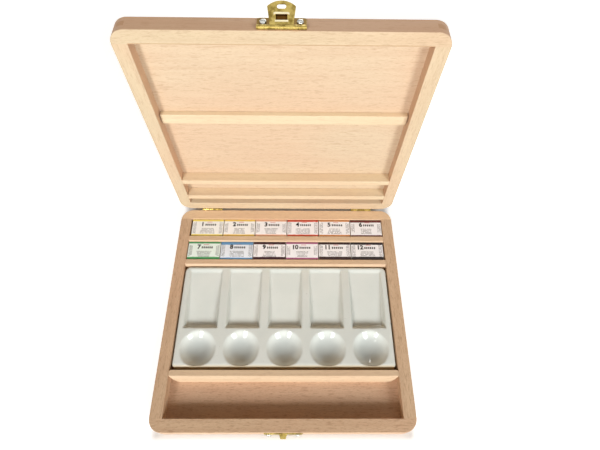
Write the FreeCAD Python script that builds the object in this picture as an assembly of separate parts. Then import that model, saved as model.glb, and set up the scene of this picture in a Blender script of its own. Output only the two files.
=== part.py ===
"""Wooden watercolour box with a hinged lid, pan rows, a porcelain palette and a brush bay.

The case is two shallow frames of finger-jointed rails, each with a thin panel let into a
rabbet. The base holds two rows of wrapped paint pans, a porcelain mixing palette and an
open brush bay, parted by cross bars. The lid has three battens inside, swings on two
stop hinges at the back and is held shut by a snap latch at the front.

Units are millimetres. The origin is the centre of the base's underside, +Z is up, the
front is -Y. The lid is drawn shut and then swung open to its rest position, and so is
the latch's flap.
"""
import FreeCAD
import Part
import math
import os

from FreeCAD import Placement, Rotation, Vector

# ---- Paint pans (wrapped whole pans) ----
PANS_PER_ROW = 6
PAN_WIDTH = 31.05            # along the row
PAN_DEPTH = 18.9
PAN_HEIGHT = 9.3
PAN_EDGE_RADIUS = 0.5        # folded long edges of the paper
PAN_GAP = 0.3                # between neighbours in a row
PAN_ROW_END_GAP = 0.9        # from a centred row's end to the side rail
PAN_SIDE_CLEARANCE = 0.2     # from a pan to the bar in front of it or behind it
PAN_HEADROOM = 0.7           # from a pan's top to the rim
BACK_ROW_SHIFT = 0.5         # how far the back row has slid to the right
FRONT_ROW_SHIFT = -0.3
WRAPPER_THICKNESS = 0.3
TUB_WALL = 1.0
TUB_FLOOR = 1.2
TUB_INSET = 0.2              # from the wrapper's end to the tub's end
CAKE_DROP = 1.4              # from the tub's rim to the paint

# ---- Case: rails, panels and corners ----
RAIL_WIDTH = 10.2
CORNER_RADIUS = 11.0
OUTER_EDGE_RADIUS = 1.0      # round the panel side
RIM_EDGE_RADIUS = 0.4        # round the rim, outside and inside
BASE_PANEL_THICKNESS = 4.0
LID_PANEL_THICKNESS = 3.5
LID_RECESS_DEPTH = 9.3
PANEL_SEAT = 5.2             # how far a panel reaches under the rails
FINGER_LAYERS = 3
RIM_GAP = 0.3                # between the two rims when shut

# ---- Bars across the base ----
BRUSH_BAY_LENGTH = 28.9
PALETTE_BAR_WIDTH = 7.9
PALETTE_BAR_CHAMFER = 3.2    # grip chamfer along its front top edge
PALETTE_BAR_END_LENGTH = 8.6   # stretch at each end where the front face curves back
PALETTE_BAR_BACK_RADIUS = 1.6
FRONT_PAN_BAR_WIDTH = 6.4
FRONT_PAN_BAR_CHAMFER = 1.6
BACK_PAN_BAR_WIDTH = 6.0
BACK_PAN_BAR_CHAMFER = 1.0

# ---- Porcelain palette ----
PALETTE_LENGTH = 93.2        # front to back
PALETTE_FRONT_CLEARANCE = 0.8
PALETTE_BACK_CLEARANCE = 0.8
PALETTE_SIDE_CLEARANCE = 1.0
PALETTE_HEADROOM = 1.0       # from its top to the rim
PALETTE_CORNER_RADIUS = 5.0
PALETTE_EDGE_RADIUS = 1.5
WELL_COLUMNS = 5
WELL_RIB = 7.3               # wall between two slant wells
WELL_BORDER = 5.2            # from the palette's side to the outer wells
SLANT_WELL_LENGTH = 54.7
SLANT_WELL_BACK_BORDER = 3.6
SLANT_WELL_BACK_DEPTH = 1.0
SLANT_WELL_FRONT_DEPTH = 5.6
SLANT_WELL_FRONT_SLOPE = 3.4   # run of the sloping wall at the deep end
SLANT_WELL_SIDE_SLOPE = 1.6
ROUND_WELL_RADIUS = 15.2
ROUND_WELL_DEPTH = 7.0
ROUND_WELL_FRONT_BORDER = 1.8
WELL_EDGE_RADIUS = 0.7
PALETTE_FOOT_WIDTH = 6.0     # unglazed foot ring under the edge
PALETTE_FOOT_HEIGHT = 0.6

# ---- Battens inside the lid, placed from the lid's back edge ----
PAN_STRIP_THICKNESS = 5.5
BACK_STRIP_DISTANCE = 17.8
FRONT_STRIP_DISTANCE = 42.6
BATTEN_WIDTH = 9.3
BATTEN_THICKNESS = 4.3
BATTEN_DISTANCE = 117.5
BATTEN_END_GAP = 0.7

# ---- Hinges, screwed to the case's back ----
HINGE_INSET = 30.0           # from the case's side to a hinge's middle
HINGE_WIDTH = 20.0
HINGE_LEAF_LENGTH = 10.0     # from the pin's axis to the leaf's end
HINGE_LEAF_THICKNESS = 0.9
HINGE_LEAF_CORNER_RADIUS = 1.5
HINGE_KNUCKLE_RADIUS = 1.1
HINGE_KNUCKLE_STANDOFF = 0.1    # from a knuckle to the plane of the case's back
HINGE_KNUCKLE_GAP = 0.1
HINGE_MIDDLE_KNUCKLE = 6.6
HINGE_PIN_RADIUS = 0.5
BORE_CLEARANCE = 0.03
LID_OPEN_ANGLE = 88.7        # where the stop flanges meet
STOP_FLANGE_THICKNESS = 0.8
STOP_FLANGE_CLEARANCE = 0.15
STOP_FLANGE_ROOT = 125.0     # degrees from straight back to where a flange leaves its leaf
STOP_FLANGE_EDGE = 45.0      # degrees below straight back to where the flanges meet
STOP_FACE_GAP = 0.4          # degrees left between them

# ---- Latch ----
LATCH_WIDTH = 30.0
LATCH_SHEET = 0.8
LATCH_KNUCKLE_RADIUS = 1.4
LATCH_KNUCKLE_STANDOFF = 0.15
LATCH_BARREL_WIDTH = 20.0    # the flap's rolled barrel, between the plate's knuckles
LATCH_BARREL_GAP = 0.2
LATCH_PIN_RADIUS = 0.6
LATCH_PLATE_TOP_MARGIN = 1.6
LATCH_CORNER_RADIUS = 1.6
FLAP_FLOOR_CLEARANCE = 0.4   # from the shut flap's tip to the underside
FLAP_ROOT_WIDTH = 14.4
FLAP_TIP_WIDTH = 17.2
FLAP_TIP_RISE = 3.2          # height of the tip's arc
FLAP_ROOT_FILLET = 2.4
FLAP_OPEN_ANGLE = 144.0      # from shut to where it rests when open
WINDOW_WIDTH = 7.0
WINDOW_TOP = 4.4             # from the pivot, down the shut flap
WINDOW_BOTTOM = 7.4
HOOD_DEPTH = 1.45            # room inside the pressed pocket over the window
HOOD_WALL = 0.6
RIDGE_LENGTH = 1.2
RIDGE_HEIGHT = 0.8
PADLOCK_SLOT_WIDTH = 5.5
PADLOCK_SLOT_HEIGHT = 2.6
PADLOCK_SLOT_DROP = 12.0     # from the pivot to its centre
CATCH_TOP_MARGIN = 0.8
CATCH_HEIGHT = 10.2
HOOK_ROOT_WIDTH = 6.2
HOOK_TIP_WIDTH = 4.0
HOOK_REACH = 3.3             # from the catch plate's face
HOOK_TOP = 5.2               # from the pivot, like the window
HOOK_THICKNESS = 1.6
HOOK_TIP_THICKNESS = 1.0

# ---- Screws ----
HINGE_SCREW_SPACING = 12.0
HINGE_SCREW_DROP = 5.8       # from the pin's axis
HINGE_SCREW_HEAD_RADIUS = 1.7
HINGE_SCREW_SHANK_RADIUS = 0.8
HINGE_SCREW_LENGTH = 6.5
LATCH_SCREW_SPACING = 22.4
LATCH_SCREW_HEAD_RADIUS = 2.1
LATCH_SCREW_HEAD_HEIGHT = 1.2
LATCH_SCREW_CROWN_RADIUS = 0.84   # round the head's edge
LATCH_SCREW_SHANK_RADIUS = 0.9
LATCH_SCREW_LENGTH = 7.0
SCREW_POINT_LENGTH = 1.6
SCREW_SLOT_WIDTH = 0.5
SCREW_SLOT_DEPTH = 0.45

# ---- Sizes that follow from those above ----
PAN_SLOT = PAN_DEPTH + 2 * PAN_SIDE_CLEARANCE
PAN_ROW_LENGTH = PANS_PER_ROW * PAN_WIDTH + (PANS_PER_ROW - 1) * PAN_GAP
INNER_WIDTH = PAN_ROW_LENGTH + 2 * PAN_ROW_END_GAP
PALETTE_BAY = PALETTE_FRONT_CLEARANCE + PALETTE_LENGTH + PALETTE_BACK_CLEARANCE
INNER_DEPTH = (BRUSH_BAY_LENGTH + PALETTE_BAR_WIDTH + PALETTE_BAY + FRONT_PAN_BAR_WIDTH
               + PAN_SLOT + BACK_PAN_BAR_WIDTH + PAN_SLOT)
CASE_WIDTH = INNER_WIDTH + 2 * RAIL_WIDTH
CASE_DEPTH = INNER_DEPTH + 2 * RAIL_WIDTH
TRAY_DEPTH = PAN_HEIGHT + PAN_HEADROOM
BASE_HEIGHT = BASE_PANEL_THICKNESS + TRAY_DEPTH
LID_HEIGHT = LID_RECESS_DEPTH + LID_PANEL_THICKNESS
LID_RIM_Z = BASE_HEIGHT + RIM_GAP
LID_TOP_Z = LID_RIM_Z + LID_HEIGHT
FLOOR_Z = BASE_PANEL_THICKNESS
FRONT_Y = -CASE_DEPTH / 2
BACK_Y = CASE_DEPTH / 2

PALETTE_BAR_Y = FRONT_Y + RAIL_WIDTH + BRUSH_BAY_LENGTH
PALETTE_Y = PALETTE_BAR_Y + PALETTE_BAR_WIDTH + PALETTE_FRONT_CLEARANCE
FRONT_PAN_BAR_Y = PALETTE_Y + PALETTE_LENGTH + PALETTE_BACK_CLEARANCE
FRONT_ROW_Y = FRONT_PAN_BAR_Y + FRONT_PAN_BAR_WIDTH
BACK_PAN_BAR_Y = FRONT_ROW_Y + PAN_SLOT
BACK_ROW_Y = BACK_PAN_BAR_Y + BACK_PAN_BAR_WIDTH

PALETTE_WIDTH = INNER_WIDTH - 2 * PALETTE_SIDE_CLEARANCE
PALETTE_HEIGHT = TRAY_DEPTH - PALETTE_HEADROOM
PALETTE_TOP_Z = FLOOR_Z + PALETTE_HEIGHT
WELL_WIDTH = (PALETTE_WIDTH - 2 * WELL_BORDER - (WELL_COLUMNS - 1) * WELL_RIB) / WELL_COLUMNS
WELL_PITCH = WELL_WIDTH + WELL_RIB

HINGE_SPACING = CASE_WIDTH - 2 * HINGE_INSET
HINGE_AXIS_Y = BACK_Y + HINGE_KNUCKLE_RADIUS + HINGE_KNUCKLE_STANDOFF
HINGE_AXIS_Z = BASE_HEIGHT + RIM_GAP / 2
LATCH_AXIS_Y = FRONT_Y - LATCH_KNUCKLE_RADIUS - LATCH_KNUCKLE_STANDOFF
LATCH_AXIS_Z = LID_RIM_Z + LATCH_KNUCKLE_RADIUS
FLAP_LENGTH = LATCH_AXIS_Z - FLAP_FLOOR_CLEARANCE
PLATE_FRONT_Y = FRONT_Y - LATCH_SHEET

X_AXIS = Vector(1, 0, 0)
Z_AXIS = Vector(0, 0, 1)
REACH = 2 * (CASE_WIDTH + CASE_DEPTH)   # longer than anything that it cuts
TINY = 0.001                            # slack when an edge is picked by its place


def block(x0, x1, y0, y1, z0, z1):
    """A box between two corners."""
    return Part.makeBox(x1 - x0, y1 - y0, z1 - z0, Vector(x0, y0, z0))


def prism(points, direction):
    """A closed outline of points, pushed along a vector."""
    return Part.Face(Part.makePolygon(points + [points[0]])).extrude(direction)


def turned(shape, angle, axis_y, axis_z):
    """The shape turned about an X-parallel axis, in degrees."""
    copy = shape.copy()
    copy.rotate(Vector(0, axis_y, axis_z), X_AXIS, angle)
    return copy


def opened(shape):
    """A piece of the shut lid, swung open about the hinge axis."""
    return turned(shape, -LID_OPEN_ANGLE, HINGE_AXIS_Y, HINGE_AXIS_Z)


# ---- Case frames ----

def eased_ring(z0, z1, rim_z):
    """The four rails as one ring between two heights, with rounded corners and edges."""
    ring = block(-CASE_WIDTH / 2, CASE_WIDTH / 2, FRONT_Y, BACK_Y, z0, z1)
    upright = [e for e in ring.Edges if e.BoundBox.ZLength > (z1 - z0) / 2]
    ring = ring.makeFillet(CORNER_RADIUS, upright)
    panel_z = z0 + z1 - rim_z
    ring = ring.makeFillet(OUTER_EDGE_RADIUS, level_edges(ring, panel_z))
    ring = ring.cut(block(-INNER_WIDTH / 2, INNER_WIDTH / 2, -INNER_DEPTH / 2, INNER_DEPTH / 2,
                          z0, z1))
    return ring.makeFillet(RIM_EDGE_RADIUS, level_edges(ring, rim_z))


def level_edges(shape, z):
    """The edges of a shape that lie flat at a height."""
    return [e for e in shape.Edges
            if e.BoundBox.ZLength < TINY and abs(e.BoundBox.ZMin - z) < TINY]


def panel(z0, z1):
    """A flat panel that fills the rabbet all round."""
    half_x = INNER_WIDTH / 2 + PANEL_SEAT
    half_y = INNER_DEPTH / 2 + PANEL_SEAT
    return block(-half_x, half_x, -half_y, half_y, z0, z1)


def finger_layers(z0, z1):
    """The heights of the fingers at a corner, lowest first."""
    step = (z1 - z0) / FINGER_LAYERS
    return [(z0 + i * step, z0 + (i + 1) * step) for i in range(FINGER_LAYERS)]


def rail_zones(z0, z1):
    """Where each rail has its wood: the end rails take the odd fingers, the sides the even."""
    end_x, side_y = CASE_WIDTH / 2, CASE_DEPTH / 2
    in_x, in_y = INNER_WIDTH / 2, INNER_DEPTH / 2
    zones = {"front_rail": [], "back_rail": [], "left_rail": [], "right_rail": []}
    for number, (low, high) in enumerate(finger_layers(z0, z1)):
        end_wide = number % 2 == 0
        x = end_x if end_wide else in_x
        y = in_y if end_wide else side_y
        zones["front_rail"].append(block(-x, x, FRONT_Y, -in_y, low, high))
        zones["back_rail"].append(block(-x, x, in_y, BACK_Y, low, high))
        zones["left_rail"].append(block(-end_x, -in_x, -y, y, low, high))
        zones["right_rail"].append(block(in_x, end_x, -y, y, low, high))
    return {name: parts[0].multiFuse(parts[1:]).removeSplitter() for name, parts in zones.items()}


def case_frame(prefix, z0, z1, rim_z, panel_z0, panel_z1):
    """One half of the case: four finger-jointed rails and the panel in their rabbet."""
    board = panel(panel_z0, panel_z1)
    ring = eased_ring(z0, z1, rim_z).cut(board)
    pieces = {prefix + name: ring.common(zone) for name, zone in rail_zones(z0, z1).items()}
    pieces[prefix + "panel"] = board
    return pieces


# ---- Bars across the base and battens in the lid ----

def palette_bar():
    """The bar between palette and brush bay, chamfered for the fingers, its ends curved back."""
    half = INNER_WIDTH / 2
    y0, y1 = PALETTE_BAR_Y, PALETTE_BAR_Y + PALETTE_BAR_WIDTH
    neck = y0 + PALETTE_BAR_CHAMFER
    straight = half - PALETTE_BAR_END_LENGTH
    run, rise = PALETTE_BAR_END_LENGTH, PALETTE_BAR_CHAMFER
    radius = (run * run + rise * rise) / (2 * rise)
    bend = math.asin(run / radius) / 2
    mid_x, mid_y = radius * math.sin(bend), radius * (1 - math.cos(bend))
    back = PALETTE_BAR_BACK_RADIUS
    corner = back * (1 - math.sqrt(0.5))
    edges = []
    for side in (-1, 1):
        edges.append(Part.Arc(Vector(side * straight, y0, FLOOR_Z),
                              Vector(side * (straight + mid_x), y0 + mid_y, FLOOR_Z),
                              Vector(side * half, neck, FLOOR_Z)).toShape())
        edges.append(Part.makeLine(Vector(side * half, neck, FLOOR_Z),
                                   Vector(side * half, y1 - back, FLOOR_Z)))
        edges.append(Part.Arc(Vector(side * half, y1 - back, FLOOR_Z),
                              Vector(side * (half - corner), y1 - corner, FLOOR_Z),
                              Vector(side * (half - back), y1, FLOOR_Z)).toShape())
    edges.append(Part.makeLine(Vector(-straight, y0, FLOOR_Z), Vector(straight, y0, FLOOR_Z)))
    edges.append(Part.makeLine(Vector(back - half, y1, FLOOR_Z), Vector(half - back, y1, FLOOR_Z)))
    outline = Part.Wire(Part.__sortEdges__(edges))
    bar = Part.Face(outline).extrude(Vector(0, 0, TRAY_DEPTH))
    return bar.cut(front_chamfer(y0, PALETTE_BAR_CHAMFER))


def front_chamfer(y0, size):
    """The wedge that a chamfer takes off a bar's front top edge."""
    top = BASE_HEIGHT
    points = [Vector(-REACH, y0, top - size), Vector(-REACH, y0 + size, top),
              Vector(-REACH, y0, top + size), Vector(-REACH, y0 - size, top)]
    return prism(points, Vector(2 * REACH, 0, 0))


def pan_bar(y0, width, chamfer):
    """A plain bar in front of a row of pans."""
    half = INNER_WIDTH / 2
    bar = block(-half, half, y0, y0 + width, FLOOR_Z, BASE_HEIGHT)
    return bar.cut(front_chamfer(y0, chamfer))


def lid_batten(distance, width, low, high, end_gap):
    """A strip across the shut lid, a distance from the lid's back edge."""
    half = INNER_WIDTH / 2 - end_gap
    y1 = BACK_Y - distance
    return block(-half, half, y1 - width, y1, low, high)


# ---- Palette ----

def slant_well(x):
    """A rectangular mixing well, shallow at the back, with sloping walls."""
    y1 = PALETTE_Y + PALETTE_LENGTH - SLANT_WELL_BACK_BORDER
    y0 = y1 - SLANT_WELL_LENGTH
    top = PALETTE_TOP_Z
    half, side = WELL_WIDTH / 2, SLANT_WELL_SIDE_SLOPE
    side_profile = [Vector(x - half, y0, top), Vector(x - half, y1, top),
                    Vector(x - half, y1 - SLANT_WELL_BACK_DEPTH, top - SLANT_WELL_BACK_DEPTH),
                    Vector(x - half, y0 + SLANT_WELL_FRONT_SLOPE, top - SLANT_WELL_FRONT_DEPTH)]
    well = prism(side_profile, Vector(2 * half, 0, 0))
    deep = SLANT_WELL_FRONT_DEPTH
    cross_section = [Vector(x - half, y0, top), Vector(x + half, y0, top),
                     Vector(x + half - side, y0, top - deep), Vector(x - half + side, y0, top - deep)]
    return well.common(prism(cross_section, Vector(0, y1 - y0, 0)))


def round_well(x):
    """A shallow round well, the cap of a ball."""
    y = PALETTE_Y + ROUND_WELL_FRONT_BORDER + ROUND_WELL_RADIUS
    depth, rim = ROUND_WELL_DEPTH, ROUND_WELL_RADIUS
    radius = (rim * rim + depth * depth) / (2 * depth)
    return Part.makeSphere(radius, Vector(x, y, PALETTE_TOP_Z - depth + radius))


def palette():
    """The porcelain palette: a slab with two rows of wells and a foot ring."""
    half = PALETTE_WIDTH / 2
    y0, y1 = PALETTE_Y, PALETTE_Y + PALETTE_LENGTH
    slab = block(-half, half, y0, y1, FLOOR_Z, PALETTE_TOP_Z)
    upright = [e for e in slab.Edges if e.BoundBox.ZLength > PALETTE_HEIGHT / 2]
    slab = slab.makeFillet(PALETTE_CORNER_RADIUS, upright)
    top = [e for e in slab.Edges if e.BoundBox.ZMin > PALETTE_TOP_Z - TINY]
    slab = slab.makeFillet(PALETTE_EDGE_RADIUS, top)
    foot = PALETTE_FOOT_WIDTH
    hollow = block(-half + foot, half - foot, y0 + foot, y1 - foot,
                   FLOOR_Z, FLOOR_Z + PALETTE_FOOT_HEIGHT)
    cuts = [hollow]
    for column in range(WELL_COLUMNS):
        x = (column - (WELL_COLUMNS - 1) / 2) * WELL_PITCH
        cuts += [slant_well(x), round_well(x)]
    body = slab.cut(cuts)
    inside = half - PALETTE_EDGE_RADIUS - TINY
    rims = [e for e in body.Edges
            if e.BoundBox.ZMin > PALETTE_TOP_Z - TINY and abs(e.CenterOfMass.x) < inside
            and y0 + PALETTE_EDGE_RADIUS + TINY < e.CenterOfMass.y < y1 - PALETTE_EDGE_RADIUS - TINY]
    return body.makeFillet(WELL_EDGE_RADIUS, rims)


# ---- Paint pans ----

def pan_corner(row_y, shift, number):
    """The front left bottom corner of a pan in its row."""
    x = -PAN_ROW_LENGTH / 2 + shift + number * (PAN_WIDTH + PAN_GAP)
    return Vector(x, row_y + PAN_SIDE_CLEARANCE, FLOOR_Z)


def pan_wrapper(corner):
    """The paper sleeve round a pan, open at its two ends."""
    sleeve = Part.makeBox(PAN_WIDTH, PAN_DEPTH, PAN_HEIGHT, corner)
    long_edges = [e for e in sleeve.Edges if e.BoundBox.XLength > PAN_WIDTH / 2]
    sleeve = sleeve.makeFillet(PAN_EDGE_RADIUS, long_edges)
    wall = WRAPPER_THICKNESS
    room = Part.makeBox(PAN_WIDTH, PAN_DEPTH - 2 * wall, PAN_HEIGHT - 2 * wall,
                        corner + Vector(0, wall, wall))
    return sleeve.cut(room)


def filled_tub(corner):
    """The plastic tub that fills the sleeve, and the cake of paint cast in it."""
    wall = WRAPPER_THICKNESS
    start = corner + Vector(TUB_INSET, wall, wall)
    length, depth, height = (PAN_WIDTH - 2 * TUB_INSET, PAN_DEPTH - 2 * wall,
                             PAN_HEIGHT - 2 * wall)
    tub = Part.makeBox(length, depth, height, start)
    inside = start + Vector(TUB_WALL, TUB_WALL, TUB_FLOOR)
    room = Part.makeBox(length - 2 * TUB_WALL, depth - 2 * TUB_WALL, height, inside)
    cake = Part.makeBox(length - 2 * TUB_WALL, depth - 2 * TUB_WALL,
                        height - TUB_FLOOR - CAKE_DROP, inside)
    return Part.makeCompound([tub.cut(room), cake])


# ---- Hinges ----

def ring_sector(x0, x1, inner, outer, start, sweep, axis_y, axis_z):
    """Part of a tube along X, from a start angle (0 is +Y, 90 is +Z) through a sweep."""
    length = x1 - x0
    ring = Part.makeCylinder(outer, length, Vector(), Z_AXIS, sweep)
    ring = ring.cut(Part.makeCylinder(inner, length))
    ring.rotate(Vector(), Z_AXIS, start)
    ring.rotate(Vector(), Vector(1, 1, 1), 120)   # Z becomes X, and X becomes Y
    ring.translate(Vector(x0, axis_y, axis_z))
    return ring


def knuckle_spans(x):
    """The stretches along the pin that belong to the base's leaf and to the lid's."""
    half, middle, gap = HINGE_WIDTH / 2, HINGE_MIDDLE_KNUCKLE / 2, HINGE_KNUCKLE_GAP
    outer = [(x - half, x - middle - gap), (x + middle + gap, x + half)]
    return outer, [(x - middle, x + middle)]


def hinge_leaf(x, own_spans, other_spans, way, flange_start, flange_end):
    """A leaf on the back of the case, going up (way 1) or down (-1), with its stop flange."""
    left, right = x - HINGE_WIDTH / 2, x + HINGE_WIDTH / 2
    tip = HINGE_AXIS_Z + way * HINGE_LEAF_LENGTH
    leaf = block(left, right, BACK_Y, BACK_Y + HINGE_LEAF_THICKNESS,
                 min(tip, HINGE_AXIS_Z), max(tip, HINGE_AXIS_Z))
    corners = [e for e in leaf.Edges if e.BoundBox.YLength > HINGE_LEAF_THICKNESS / 2
               and abs(e.BoundBox.ZMin - tip) < TINY]
    leaf = leaf.makeFillet(HINGE_LEAF_CORNER_RADIUS, corners)
    clear, gap = HINGE_KNUCKLE_RADIUS + STOP_FLANGE_CLEARANCE, HINGE_KNUCKLE_GAP
    for low, high in other_spans:
        leaf = leaf.cut(block(low - gap, high + gap, BACK_Y, HINGE_AXIS_Y,
                              HINGE_AXIS_Z - clear, HINGE_AXIS_Z + clear))
    sweep = flange_end - flange_start
    parts = [ring_sector(left, right, clear, clear + STOP_FLANGE_THICKNESS, flange_start, sweep,
                         HINGE_AXIS_Y, HINGE_AXIS_Z)]
    for low, high in own_spans:
        parts.append(Part.makeCylinder(HINGE_KNUCKLE_RADIUS, high - low,
                                       Vector(low, HINGE_AXIS_Y, HINGE_AXIS_Z), X_AXIS))
        parts.append(ring_sector(low, high, HINGE_KNUCKLE_RADIUS / 2,
                                 clear + STOP_FLANGE_THICKNESS / 2, flange_start, sweep,
                                 HINGE_AXIS_Y, HINGE_AXIS_Z))
    bore = Part.makeCylinder(HINGE_PIN_RADIUS + BORE_CLEARANCE, HINGE_WIDTH + 2,
                             Vector(left - 1, HINGE_AXIS_Y, HINGE_AXIS_Z), X_AXIS)
    return leaf.multiFuse(parts).cut(bore).removeSplitter()


def base_leaf(x):
    """The leaf on the base's back. Its flange curls forward below the knuckles."""
    own, other = knuckle_spans(x)
    return hinge_leaf(x, own, other, -1, -STOP_FLANGE_ROOT, -STOP_FLANGE_EDGE)


def lid_leaf(x):
    """The leaf on the shut lid's back. Its flange meets the base's when the lid is open."""
    other, own = knuckle_spans(x)
    leading = LID_OPEN_ANGLE - STOP_FLANGE_EDGE + STOP_FACE_GAP
    return hinge_leaf(x, own, other, 1, leading, STOP_FLANGE_ROOT)


def hinge_pin(x):
    """The pin through a hinge's three knuckles."""
    return Part.makeCylinder(HINGE_PIN_RADIUS, HINGE_WIDTH,
                             Vector(x - HINGE_WIDTH / 2, HINGE_AXIS_Y, HINGE_AXIS_Z), X_AXIS)


# ---- Latch ----

def flap_outline():
    """The shut flap's tongue seen from the front, as a face in the pivot's plane."""
    root, tip = FLAP_ROOT_WIDTH / 2, FLAP_TIP_WIDTH / 2
    barrel = LATCH_BARREL_WIDTH / 2
    fillet = min(FLAP_ROOT_FILLET, barrel - root)
    shoulder = FLAP_LENGTH - FLAP_TIP_RISE
    bend = fillet * (1 - math.sqrt(0.5))

    def at(x, drop):
        return Vector(x, LATCH_AXIS_Y, LATCH_AXIS_Z - drop)

    edges = [Part.makeLine(at(-root - fillet, 0), at(root + fillet, 0))]
    for side in (-1, 1):
        edges.append(Part.Arc(at(side * (root + fillet), 0), at(side * (root + bend), bend),
                              at(side * root, fillet)).toShape())
        edges.append(Part.makeLine(at(side * root, fillet), at(side * tip, shoulder)))
    edges.append(Part.Arc(at(-tip, shoulder), at(0, FLAP_LENGTH), at(tip, shoulder)).toShape())
    return Part.Face(Part.Wire(Part.__sortEdges__(edges)))


def rounded_slot(width, height, drop):
    """A slot with round ends through the shut flap, across its length."""
    radius = height / 2
    z = LATCH_AXIS_Z - drop
    run = width / 2 - radius
    middle = block(-run, run, LATCH_AXIS_Y - REACH, LATCH_AXIS_Y + REACH, z - radius, z + radius)
    ends = [Part.makeCylinder(radius, 2 * REACH, Vector(side * run, LATCH_AXIS_Y - REACH, z),
                              Vector(0, 1, 0)) for side in (-1, 1)]
    return middle.multiFuse(ends)


def latch_flap():
    """The snap flap, hanging shut: rolled barrel, tongue, pressed pocket and stiffening ridge."""
    outer_y = LATCH_AXIS_Y - LATCH_KNUCKLE_RADIUS
    inner_y = outer_y + LATCH_SHEET
    tongue = flap_outline()
    tongue.translate(Vector(0, outer_y - LATCH_AXIS_Y, 0))
    tongue = tongue.extrude(Vector(0, LATCH_SHEET, 0))
    barrel = Part.makeCylinder(LATCH_KNUCKLE_RADIUS, LATCH_BARREL_WIDTH,
                               Vector(-LATCH_BARREL_WIDTH / 2, LATCH_AXIS_Y, LATCH_AXIS_Z), X_AXIS)
    half = WINDOW_WIDTH / 2
    top, bottom = LATCH_AXIS_Z - WINDOW_TOP, LATCH_AXIS_Z - WINDOW_BOTTOM
    wall = HOOD_WALL
    hood = block(-half - wall, half + wall, outer_y - HOOD_DEPTH - wall, outer_y,
                 bottom - wall, top + wall)
    front_edges = [e for e in hood.Edges if e.BoundBox.YMax < outer_y - HOOD_DEPTH]
    hood = hood.makeFillet(wall, front_edges)
    ridge = block(-half - wall, half + wall, inner_y, inner_y + RIDGE_HEIGHT,
                  bottom - RIDGE_LENGTH, bottom)
    room = block(-half, half, outer_y - HOOD_DEPTH, inner_y + RIDGE_HEIGHT, bottom, top)
    flap = tongue.multiFuse([barrel, hood, ridge]).cut(room)
    bore = Part.makeCylinder(LATCH_PIN_RADIUS + BORE_CLEARANCE, LATCH_WIDTH,
                             Vector(-LATCH_WIDTH / 2, LATCH_AXIS_Y, LATCH_AXIS_Z), X_AXIS)
    slot = rounded_slot(PADLOCK_SLOT_WIDTH, PADLOCK_SLOT_HEIGHT, PADLOCK_SLOT_DROP)
    return flap.cut(bore).cut(slot).removeSplitter()


def mounting_plate(z0, z1, corners_at):
    """A plate on the case's front, with two of its corners rounded."""
    half = LATCH_WIDTH / 2
    plate = block(-half, half, PLATE_FRONT_Y, FRONT_Y, z0, z1)
    rounded = [e for e in plate.Edges
               if e.BoundBox.YLength > LATCH_SHEET / 2 and abs(e.BoundBox.ZMin - corners_at) < TINY]
    return plate.makeFillet(LATCH_CORNER_RADIUS, rounded)


def latch_plate():
    """The plate on the lid's front rail, with a knuckle at each end of the flap's barrel."""
    top = LID_TOP_Z - LATCH_PLATE_TOP_MARGIN
    plate = mounting_plate(LATCH_AXIS_Z, top, top)
    half, gap = LATCH_WIDTH / 2, LATCH_BARREL_GAP
    inner = LATCH_BARREL_WIDTH / 2 + gap
    knuckles = [Part.makeCylinder(LATCH_KNUCKLE_RADIUS, half - inner,
                                  Vector(x, LATCH_AXIS_Y, LATCH_AXIS_Z), X_AXIS)
                for x in (-half, inner)]
    relief = Part.makeCylinder(LATCH_KNUCKLE_RADIUS + gap, 2 * inner,
                               Vector(-inner, LATCH_AXIS_Y, LATCH_AXIS_Z), X_AXIS)
    bore = Part.makeCylinder(LATCH_PIN_RADIUS + BORE_CLEARANCE, LATCH_WIDTH,
                             Vector(-half, LATCH_AXIS_Y, LATCH_AXIS_Z), X_AXIS)
    return plate.cut(relief).multiFuse(knuckles).cut(bore).removeSplitter()


def latch_pin():
    """The rod through the latch's knuckles."""
    return Part.makeCylinder(LATCH_PIN_RADIUS, LATCH_WIDTH,
                             Vector(-LATCH_WIDTH / 2, LATCH_AXIS_Y, LATCH_AXIS_Z), X_AXIS)


def catch_plate():
    """The plate on the base's front rail, with the hook that the flap's pocket snaps over."""
    top = BASE_HEIGHT - CATCH_TOP_MARGIN
    plate = mounting_plate(top - CATCH_HEIGHT, top, top - CATCH_HEIGHT)
    hook_top = LATCH_AXIS_Z - HOOK_TOP
    root_y, tip_y = PLATE_FRONT_Y, PLATE_FRONT_Y - HOOK_REACH
    side = [Vector(-REACH, root_y, hook_top), Vector(-REACH, tip_y, hook_top),
            Vector(-REACH, tip_y, hook_top - HOOK_TIP_THICKNESS),
            Vector(-REACH, root_y, hook_top - HOOK_THICKNESS)]
    hook = prism(side, Vector(2 * REACH, 0, 0))
    root, tip = HOOK_ROOT_WIDTH / 2, HOOK_TIP_WIDTH / 2
    plan = [Vector(-root, root_y, 0), Vector(root, root_y, 0),
            Vector(tip, tip_y, 0), Vector(-tip, tip_y, 0)]
    return plate.fuse(hook.common(prism(plan, Vector(0, 0, BASE_HEIGHT)))).removeSplitter()


# ---- Screws, each driven along -Z from the origin and then placed ----

def slotted(screw, top, radius):
    """The screw with a slot across its head."""
    half = SCREW_SLOT_WIDTH / 2
    return screw.cut(block(-radius, radius, -half, half, top - SCREW_SLOT_DEPTH, top + 1))


def shank(radius, length):
    """A pointed shank from the origin down."""
    straight = Part.makeCylinder(radius, length - SCREW_POINT_LENGTH,
                                 Vector(0, 0, SCREW_POINT_LENGTH - length))
    point = Part.makeCone(radius / 10, radius, SCREW_POINT_LENGTH, Vector(0, 0, -length))
    return straight.fuse(point)


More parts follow.
